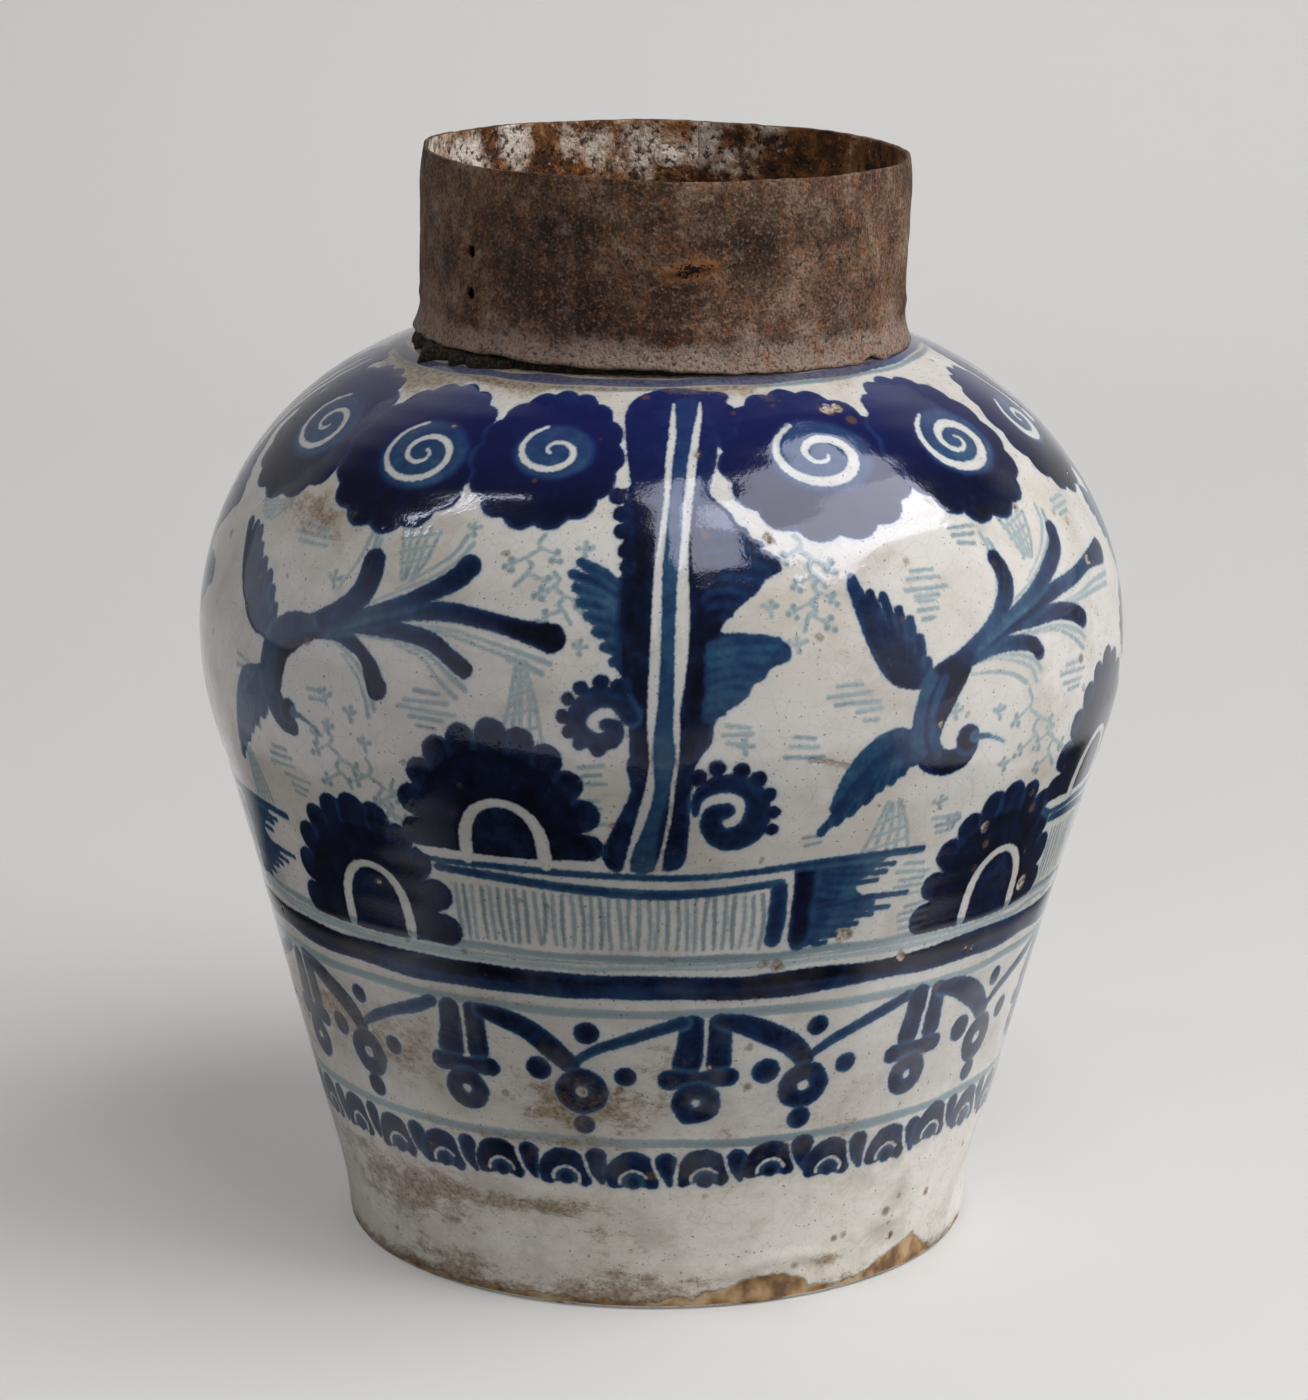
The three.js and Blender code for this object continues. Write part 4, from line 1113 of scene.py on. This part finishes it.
# The sheet: columns are degrees round it, a lap past the full turn, and rows are millimetres up it. Its
# radius is the plain collar's, with swells added and a bell curve taken off for each dent. The grid points
# round a hole are moved onto the hole's circle.
def collarMesh():
    size = collar
    lap, joggle = (size[name] / size["radius"] / degree for name in ("lap", "joggle"))
    start, full = -180 - lap / 2, 180 - lap / 2
    across = np.linspace(start, full + lap, int((360 + lap) * degree * size["radius"] / size["cell"]))
    upward = np.linspace(0, size["height"], int(size["height"] / size["cell"]) + 1)
    degrees, level = np.meshgrid(across, upward)
    level, degrees = level.copy(), degrees.copy()
    scale = size["radius"] * degree
    cut = np.zeros((len(upward) - 1, len(across) - 1), bool)
    middleX = (degrees[1:, 1:] + degrees[:-1, :-1]) / 2
    middleY = (level[1:, 1:] + level[:-1, :-1]) / 2
    for holeDegrees, holeLevel in size["holes"]:
        inHole = np.hypot((middleX - holeDegrees) * scale, middleY - holeLevel) < size["holeRadius"]
        cut |= inHole
        touched, kept = np.zeros(degrees.shape, bool), np.zeros(degrees.shape, bool)
        for dy in (0, 1):
            for dx in (0, 1):
                touched[dy:len(upward) - 1 + dy, dx:len(across) - 1 + dx] |= inHole
                kept[dy:len(upward) - 1 + dy, dx:len(across) - 1 + dx] |= ~inHole
        rim = touched & kept
        x, y = (degrees[rim] - holeDegrees) * scale, level[rim] - holeLevel
        stretch = size["holeRadius"] / np.hypot(x, y)
        degrees[rim], level[rim] = holeDegrees + x * stretch / scale, holeLevel + y * stretch
    wrapped = (degrees + 180) % 360 - 180
    flat = np.stack([size["radius"] * np.sin(degrees * degree), -size["radius"] * np.cos(degrees * degree),
                     level], -1)
    edge = np.interp(wrapped, *np.array(size["edge"]).T) + 0.35 * swell(flat * [1, 1, 0], 7, 91)
    rimWave = 0.5 * swell(flat * [1, 1, 0], 60, 92) + 0.15 * swell(flat * [1, 1, 0], 6, 93)
    shifted = level + edge * smooth(-level, -9, 0) + rimWave * smooth(level, 48, 62)
    radius = collarRadius(level) + (size["sheet"] + size["gap"]) * smooth(degrees, full - joggle, full)
    radius = radius + 0.5 * swell(flat, 55, 94) + 0.22 * swell(flat, 16, 95) + 0.1 * swell(flat, 4, 96)
    for dentDegrees, dentLevel, wide, deep in size["dents"]:
        away = np.hypot(((wrapped - dentDegrees + 180) % 360 - 180) * scale, level - dentLevel)
        radius -= deep * np.exp(-(away / wide) ** 2)
    creaseLevel = 12 + 1.5 * swell(flat * [1, 1, 0], 50, 97)
    radius += 0.5 * np.exp(-((level - creaseLevel) / 2.2) ** 2)  # a soft crease above the turned edge

    def patches(*names):  # signed sum of round patches
        total = np.zeros(level.shape)
        for name, sign in names:
            for patchDegrees, patchLevel, patchSize, strength in size[name]:
                around = ((wrapped - patchDegrees + 180) % 360 - 180) * scale
                off = np.hypot(around, level - patchLevel) / patchSize
                total += sign * strength * np.exp(-off ** 2)
        return total

    scarDegrees, scarLevel, scarLong, scarWide, scarRise = size["scar"]
    x, y = (wrapped - scarDegrees) * scale, level - scarLevel - 0.15 * (wrapped - scarDegrees) * scale
    scar = np.exp(-(x / scarLong) ** 2 - (y / scarWide) ** 2)
    radius += scarRise * scar * np.sign(y + 0.3) * (np.abs(y) < 4)
    fields = dict(
        tan=0.4 * swell(flat, 26, 98) + patches(("paler", 1), ("darker", -1)),
        low=smooth(-level, -13, -5),
        scar=scar,
        crust=0.3 * swell(flat, 18, 99) + patches(("crusts", 1)),
    )
    return gridMesh("collar_sheet", onCollar(degrees, shifted, radius), closed=False, keep=~cut,
                    fields=fields)


# Iron: a skin ramp by coarse mottling, then layers. Each layer is a noise with a share of a field, pushed
# through a threshold: (noise, field, how much the field counts, low, high, most, colour).
def ironMaterial(name, skin, layers, dull):
    material, tree, shader = newMaterial(name)
    place = add(tree, "TexCoord").outputs["Object"]
    field = {
        one: add(tree, "Attribute", attribute_name=one).outputs["Fac"]
        for one in ("tan", "low", "scar", "crust")
    }
    grain = {  # noise by the size of its lumps in millimetres
        one: add(tree, "TexNoise", {"Vector": place, "Scale": 1000 / size, "Detail": 8,
                                    "Roughness": rough}).outputs["Fac"]
        for one, size, rough in (("mottle", 13, 0.72), ("patch", 6, 0.68), ("grit", 2.4, 0.6),
                                 ("fine", 1.1, 0.5), ("flake", 5, 0.75))
    }
    skinAt = add(tree, "Math", {0: field["tan"], 1: 0.14, 2: grain["mottle"]},
                 operation="MULTIPLY_ADD").outputs[0]
    colour = add(tree, "ValToRGB", {"Fac": skinAt}, stops=skin).outputs[0]
    for noise, painted, counts, low, high, most, over in layers:
        source = add(tree, "Math", {0: field[painted], 1: counts, 2: grain[noise]},
                     operation="MULTIPLY_ADD").outputs[0]
        share = add(tree, "MapRange", {"Value": source, "From Min": low, "From Max": high, "To Max": most},
                    interpolation_type="SMOOTHSTEP").outputs[0]
        colour = add(tree, "Mix", {0: share, 6: colour, 7: linear(over)}, data_type="RGBA").outputs[2]
    tree.links.new(colour, shader.inputs["Base Color"])
    shader.inputs["Metallic"].default_value = 0.1
    shader.inputs["Specular IOR Level"].default_value = 0.3
    rough = add(tree, "MapRange", {"Value": grain["patch"], "From Min": 0.35, "From Max": 0.65,
                                   "To Min": dull - 0.22, "To Max": dull}).outputs[0]
    tree.links.new(rough, shader.inputs["Roughness"])
    normal = None
    for noise, depth in (("patch", 0.0012), ("grit", 0.0014), ("fine", 0.0007)):
        links = {"Height": grain[noise], "Strength": 0.9, "Distance": depth}
        normal = add(tree, "Bump", links | ({"Normal": normal} if normal else {})).outputs[0]
    tree.links.new(normal, shader.inputs["Normal"])
    return material


# Old sheet iron: a near-black brown skin, mottled, with fine orange rust breaking through, gritty and
# without shine
ironOutside = ironMaterial(
    "Sheet iron, hammered, its skin turned to brown rust",
    [(0.3, "#2b1d14"), (0.42, "#483327"), (0.52, "#614838"), (0.62, "#7a614e"), (0.75, "#957d69")],
    [("mottle", "low", 0.3, 0.48, 0.82, 0.8, "#95847a"), ("flake", "tan", 0.03, 0.48, 0.63, 0.62, "#7d4c2b"),
     ("grit", "tan", -0.02, 0.43, 0.33, 0.7, "#18120d"), ("grit", "tan", 0.02, 0.56, 0.68, 0.42, "#8f7863"),
     ("fine", "tan", 0, 0.47, 0.36, 0.6, "#1c140e"), ("fine", "low", 0.02, 0.56, 0.66, 0.3, "#a6917f"),
     ("patch", "scar", 0.5, 0.62, 0.85, 0.85, "#8d5b35"), ("fine", "scar", 0.6, 0.94, 1.04, 1.0, "#0b0706")],
    0.85)
# The same sheet inside, never wiped: loose orange rust under pale dried crusts
ironInside = ironMaterial(
    "Sheet iron, unpolished, crusted with rust and dry residue",
    [(0.3, "#21150d"), (0.45, "#533422"), (0.58, "#875a36"), (0.72, "#ab8056")],
    [("flake", "crust", 0.06, 0.5, 0.64, 0.8, "#9a602e"),
     ("mottle", "crust", 0.3, 0.58, 0.82, 0.92, "#e4d9cd"),
     ("grit", "crust", -0.04, 0.46, 0.35, 0.9, "#150d08"),
     ("grit", "crust", 0.1, 0.62, 0.76, 0.7, "#e0d7cb")],
    0.95)

sheet = finishPiece(collarMesh(), (ironOutside, ironInside), ["iron_collar"])
thicken = sheet.modifiers.new("thickness", "SOLIDIFY")
thicken.thickness, thicken.offset = collar["sheet"] * mm, -1
thicken.material_offset = 1
print("built the collar", flush=True)


# The rivets of the seam at the back: a hammered dome on each side of both layers

rivets = dict(heights=(13, 31, 49), shank=2.0, head=4.2, rise=1.5, grip=4.1, degrees=180)


# A section of (radius, outward) from the inner head's middle to the outer head's, turned about the rivet's
# own axis and bent to the collar. A head is a quarter of an ellipse.
def rivetMesh(name, height, seed):
    size = rivets
    steps = np.linspace(0, 1, 12)
    dome = [(size["head"] * np.sin(a), size["grip"] / 2 + size["rise"] * np.cos(a) ** 0.8)
            for a in steps * np.pi / 2]
    dome[0] = (0.05, dome[0][1])
    # hammered flatter inside
    inward = [(r, -size["grip"] / 2 - 0.5 * (o - size["grip"] / 2)) for r, o in dome]
    shank = [(size["shank"], -size["grip"] / 2 + 0.05), (size["shank"], size["grip"] / 2 - 0.05)]
    section = np.array([*inward, *shank, *dome[::-1]])
    around = np.arange(40) * 2 * np.pi / 40
    radius = section[:, :1] * (1 + 0.03 * np.sin(3 * around + seed) + 0.02 * np.sin(7 * around + 2 * seed))
    outwards = section[:, 1:] + 0 * around
    ball = np.stack([radius * np.cos(around), outwards, radius * np.sin(around)], -1)
    outwards = outwards + 0.16 * swell(ball, 3.5, 100 + seed) * (section[:, :1] > size["shank"] * 0.2)
    middle = collar["radius"] + collar["gap"] / 2 + outwards
    turn = size["degrees"] + np.degrees(radius * np.cos(around) / collar["radius"])
    crusted = dict(crust=0.9 - 0.5 * (outwards > 0))
    stand = middle / np.cos((turn - size["degrees"]) * degree)
    places = onCollar(turn, height + radius * np.sin(around), stand)
    return gridMesh(name, places, fields=crusted, cap=(0, -1))


for i, height in enumerate(rivets["heights"]):
    mesh = rivetMesh(f"rivet_{i + 1}", height, i + 1)
    inner = [one.center.xy.length < collar["radius"] * mm for one in mesh.polygons]
    mesh.polygons.foreach_set("material_index", inner)
    finishPiece(mesh, (ironOutside, ironInside), [f"seam_rivet_{i + 1}"])


# The pitch between neck and collar: pressed in by hand and squeezed out under the collar, most of it at the
# left of the front

bedding = dict(
    aboveNeck=2.0, inCollar=82.0,  # inCollar: its radius inside the collar
    spread=0.2, spill=(-60, 26, 5.5),  # how far the bead stands out; where it spilled: degree, width, how far
    columns=420,
)


# One ring for each step of its section: up the neck, across the top, down inside the collar, and then over
# the bead, a quarter of an ellipse from under the collar down to the shoulder
def beddingMesh():
    size = bedding
    degrees = np.arange(size["columns"]) * 360 / size["columns"]
    ring = np.stack([np.sin(degrees * degree), -np.cos(degrees * degree), 0 * degrees], -1)
    off = ((degrees - size["spill"][0] + 180) % 360 - 180) / size["spill"][1]
    lumps = swell(ring * 84, 13, 110) * 0.9 + swell(ring * 84, 6, 111) * 0.5
    spread = size["spread"] + size["spill"][2] * np.exp(-off ** 2) * (1 + 0.35 * lumps) + 0.9 * lumps
    top = jar["neckTop"] + size["aboveNeck"] + 0.5 * lumps
    inCollar = onCollar(degrees, 1.5 + 0 * degrees, size["inCollar"] + 0 * degrees)
    inRadius = np.hypot(inCollar[:, 0], inCollar[:, 1])
    foot = inRadius + spread + 1
    rings = []

    def ringAt(radius, height):
        place = ring * radius[..., None] if np.ndim(radius) else ring * radius
        place = place.copy()
        place[:, 2] = height
        rings.append(place)

    inner = jar["neckRadius"] + 0.1
    for share in np.linspace(0, 1, 4):  # down the neck, hidden
        ringAt(inner, top * (1 - share) + (root[1] + 0.2) * share)
    rings.reverse()
    for share in (0.35, 0.7):
        rough = 0.2 * swell(ring * 80, 5, 112 + int(10 * share))
        ringAt(inner + share * (size["inCollar"] - inner), top + 0.35 * np.sin(np.pi * share) + rough)
    upper = onCollar(degrees, top - collarBottom - 0.6, size["inCollar"] + 0 * degrees)
    rings.append(upper)
    rings.append(onCollar(degrees, 3.0 + 0 * degrees, size["inCollar"] + 0.2 + 0 * degrees))
    rings.append(inCollar + ring * 0.8)
    for a in np.linspace(0.15, 1, 7) * np.pi / 2:  # the bead that was squeezed out, a quarter round
        radius = inRadius + 0.8 + (foot - inRadius - 0.8) * np.sin(a)
        crest = inCollar[:, 2] - 0.4 - 0.6 * lumps
        ground = shoulderHeight(foot) - 0.35
        rough = 0.18 * swell(ring * 86 + [0, 0, a * 4], 3.2, 113)
        ringAt(radius, ground + (crest - ground) * np.cos(a) + rough)
    ringAt(inner + 0.5, shoulderHeight(inner + 0.5) - 0.3)
    return gridMesh("pitch_ring", np.stack(rings + rings[:1]))


# Pitch: black-brown, set hard, with brown crumbs of rust stuck in it and dull where dust has settled
def pitchMaterial():
    material, tree, shader = newMaterial("Pine pitch, melted, pressed in by thumb and set hard")
    place = add(tree, "TexCoord").outputs["Object"]
    lumps = add(tree, "TexNoise", {"Vector": place, "Scale": 1000 / 5, "Detail": 6}).outputs["Fac"]
    dust = add(tree, "TexNoise", {"Vector": place, "Scale": 1000 / 1.2, "Detail": 3}).outputs["Fac"]
    colour = add(tree, "ValToRGB", {"Fac": lumps},
                 stops=[(0.35, "#040302"), (0.55, "#0a0705"), (0.72, "#33241a")]).outputs[0]
    crumbs = add(tree, "MapRange", {"Value": dust, "From Min": 0.5, "From Max": 0.6,
                                    "To Max": 0.75}).outputs[0]
    colour = add(tree, "Mix", {0: crumbs, 6: colour, 7: linear("#4b3828")}, data_type="RGBA").outputs[2]
    tree.links.new(colour, shader.inputs["Base Color"])
    rough = add(tree, "MapRange", {"Value": dust, "From Min": 0.3, "From Max": 0.7, "To Min": 0.6,
                                   "To Max": 1}).outputs[0]
    tree.links.new(rough, shader.inputs["Roughness"])
    shader.inputs["Specular IOR Level"].default_value = 0.3
    normal = add(tree, "Bump", {"Height": lumps, "Strength": 1.0, "Distance": 0.004}).outputs[0]
    normal = add(tree, "Bump", {"Height": dust, "Strength": 0.5, "Distance": 0.0003,
                                "Normal": normal}).outputs[0]
    tree.links.new(normal, shader.inputs["Normal"])
    return material


finishPiece(beddingMesh(), pitchMaterial(), ["pitch_bedding"])
print("built the pitch and the rivets", flush=True)


# Floor, lamps and camera

# A sheet of paper on the table that curves up behind the jar
sweep = dict(front=-0.6, bend=1.5, radius=1.6, top=2.6, half=3.5)
bendAngles = np.linspace(0, np.pi / 2, 33)
sweepLine = [
    (sweep["front"], 0.0),
    *[(sweep["bend"] + sweep["radius"] * np.sin(a), sweep["radius"] * (1 - np.cos(a))) for a in bendAngles],
    (sweep["bend"] + sweep["radius"], sweep["top"]),
]
sweepPlaces = np.array([[(x, y, z) for x in (-sweep["half"], sweep["half"])] for y, z in sweepLine]) / mm
floor = bpy.data.objects.new("floor", gridMesh("floor", sweepPlaces, closed=False))
collection.objects.link(floor)
floorMaterial, floorTree, floorShader = newMaterial("Background paper, matt and pale grey")
# Outside the picture the paper is painted near black for rays from the jar, as if black cards lay in front of
# the jar, with a point towards its foot, and at both sides: painted shade, so that the jar gets no light from
# the paper in front, and a painted dark reflection, so that below its middle the glaze mirrors only the paper
# near the foot
rays = add(floorTree, "LightPath").outputs
floorAt = add(floorTree, "SeparateXYZ", {"Vector": add(floorTree, "TexCoord").outputs["Object"]}).outputs
sideways = add(floorTree, "Math", {0: floorAt["X"]}, operation="ABSOLUTE").outputs[0]
wedge = add(floorTree, "Math", {0: sideways, 1: 0.7, 2: floorAt["Y"]}, operation="MULTIPLY_ADD").outputs[0]
ahead = add(floorTree, "MapRange", {"Value": wedge, "From Min": -0.14, "From Max": -0.3}).outputs[0]
beside = add(floorTree, "Math", {0: sideways, 1: 0.36}, operation="SUBTRACT").outputs[0]
beside = add(floorTree, "Math", {0: beside}, operation="ABSOLUTE").outputs[0]
beside = add(floorTree, "MapRange", {"Value": beside, "From Min": 0.12, "From Max": 0.06}).outputs[0]
near = add(floorTree, "MapRange", {"Value": floorAt["Y"], "From Min": 0.4, "From Max": 0.25}).outputs[0]
beside = add(floorTree, "Math", {0: beside, 1: near}, operation="MULTIPLY").outputs[0]
# painted dark reflection: where the glaze mirrors the paper, it sees it near black
mirrored = add(floorTree, "MapRange", {"Value": wedge, "From Min": 0.05, "From Max": -0.07}).outputs[0]
mirrored = add(floorTree, "Math", {0: mirrored, 1: beside}, operation="MAXIMUM").outputs[0]
unseen = add(floorTree, "Math", {0: 1, 1: rays["Is Camera Ray"]}, operation="SUBTRACT").outputs[0]
ahead = add(floorTree, "Math", {0: ahead, 1: unseen}, operation="MULTIPLY").outputs[0]
mirrored = add(floorTree, "Math", {0: mirrored, 1: rays["Is Glossy Ray"]}, operation="MULTIPLY").outputs[0]
paintedCardShade = add(floorTree, "Math", {0: ahead, 1: mirrored}, operation="MAXIMUM").outputs[0]
# painted shade and painted dark reflection: the near-black stand-in for the cards, seen only by rays from the
# jar
paperSeen = add(floorTree, "Mix", {0: paintedCardShade, 6: linear("#dcdcdc"), 7: linear("#262627")},
                data_type="RGBA").outputs[2]
# To the camera the paper keeps a part of its own pale colour, so that the shadow stays as light as in the
# photograph
paperGlow = add(floorTree, "Emission", {"Color": linear("#d0cecb")}).outputs[0]
glowShare = add(floorTree, "Math", {0: rays["Is Camera Ray"], 1: 0.28}, operation="MULTIPLY").outputs[0]
mixed = add(floorTree, "MixShader", {0: glowShare, 1: floorShader.outputs[0], 2: paperGlow}).outputs[0]
floorTree.links.new(mixed, floorTree.nodes["Material Output"].inputs["Surface"])
floorTree.links.new(paperSeen, floorShader.inputs["Base Color"])
floorShader.inputs["Roughness"].default_value = 0.9
floor.data.materials.append(floorMaterial)

# Azimuth is from the camera's side towards the right, and a lamp looks at the jar's middle unless it has an
# aim. Sizes and distances are metres, angles degrees and power watts.
lamps = [
    dict(name="window_high", azimuth=70, elevation=65, distance=2.4, width=1.9, height=0.78, power=19,
         colour="#fffefc"),
    dict(name="window_low", azimuth=70, elevation=47.2, distance=2.4, width=1.9, height=0.74, power=26,
         colour="#fffefc"),
    dict(name="front_box", azimuth=15, elevation=60, distance=2.4, width=0.56, height=1.45, power=11.5,
         colour="#fffefc", roll=8),
    dict(name="right_fill", azimuth=66, elevation=24, distance=1.9, width=0.8, height=0.5, power=9,
         colour="#fffdfa", mirrored=False),
    dict(name="left_strip", azimuth=-76, elevation=52, distance=2.0, width=0.05, height=1.0, power=2,
         colour="#f8faff", roll=-28),
    dict(name="backdrop_box", azimuth=160, elevation=50, distance=2.2, width=2.4, height=0.6, power=6.6,
         colour="#ffffff", aim=(0.2, 2.4, 0)),
]
for lamp in lamps:
    light = bpy.data.lights.new(lamp["name"], "AREA")
    light.shape, light.size, light.size_y = "RECTANGLE", lamp["width"], lamp["height"]
    light.energy, light.color = lamp["power"], linear(lamp["colour"])[:3]
    turn, rise = lamp["azimuth"] * degree, lamp["elevation"] * degree
    way = np.array([np.sin(turn) * np.cos(rise), -np.cos(turn) * np.cos(rise), np.sin(rise)])
    holder = bpy.data.objects.new(lamp["name"], light)
    holder.location = way * lamp["distance"] + [0, 0, 0.2]
    # the fill lights the right side but is not mirrored in it
    holder.visible_glossy = lamp.get("mirrored", True)
    roll = Matrix.Rotation(lamp.get("roll", 0) * degree, 3, "Z")
    holder.rotation_euler = (Euler((np.pi / 2 - rise, 0, turn)).to_matrix() @ roll).to_euler()
    if "aim" in lamp:
        toX, toY, toZ = np.array(lamp["aim"]) - holder.location
        light.spread = 110 * degree
        holder.rotation_euler = (np.arctan2(np.hypot(toX, toY), -toZ), 0, np.arctan2(-toX, toY))
    collection.objects.link(holder)

world = bpy.data.worlds.new("studio")
world.use_nodes = True
# the room: dim in front and overhead, pale behind and low at both sides
roomTree = world.node_tree
room = add(roomTree, "SeparateXYZ", {"Vector": add(roomTree, "TexCoord").outputs["Generated"]}).outputs
behind = add(roomTree, "MapRange", {"Value": room["Y"], "From Min": 0.42, "From Max": 0.7, "To Min": 0.12,
                                    "To Max": 0.9}).outputs[0]
aside = add(roomTree, "Math", {0: room["X"]}, operation="ABSOLUTE").outputs[0]
aside = add(roomTree, "Math", {0: room["Z"], 1: -1.2, 2: aside}, operation="MULTIPLY_ADD").outputs[0]
aside = add(roomTree, "MapRange", {"Value": aside, "From Min": 0.1, "From Max": 0.7,
                                   "To Max": 0.95}).outputs[0]
walls = add(roomTree, "Math", {0: behind, 1: aside}, operation="MAXIMUM").outputs[0]
roomTree.nodes["Background"].inputs["Color"].default_value = linear("#d5d3d1")
roomTree.links.new(walls, roomTree.nodes["Background"].inputs["Strength"])
bpy.context.scene.world = world

# the focal length and the height are in pixels of the photograph
view = dict(focal=4664, height=1400, pitch=14.0, place=(-0.0008, -1.596, 0.584))
camera = bpy.data.cameras.new("camera")
sensor = 36  # mm along the longer side of the picture
camera.sensor_width = sensor
camera.lens = sensor * view["focal"] / view["height"]
camera.clip_end = 100
eye = bpy.data.objects.new("camera", camera)
eye.location = view["place"]
eye.rotation_euler = ((90 - view["pitch"]) * degree, 0, 0)
collection.objects.link(eye)
bpy.context.scene.camera = eye
bpy.context.scene.view_settings.view_transform = "Standard"
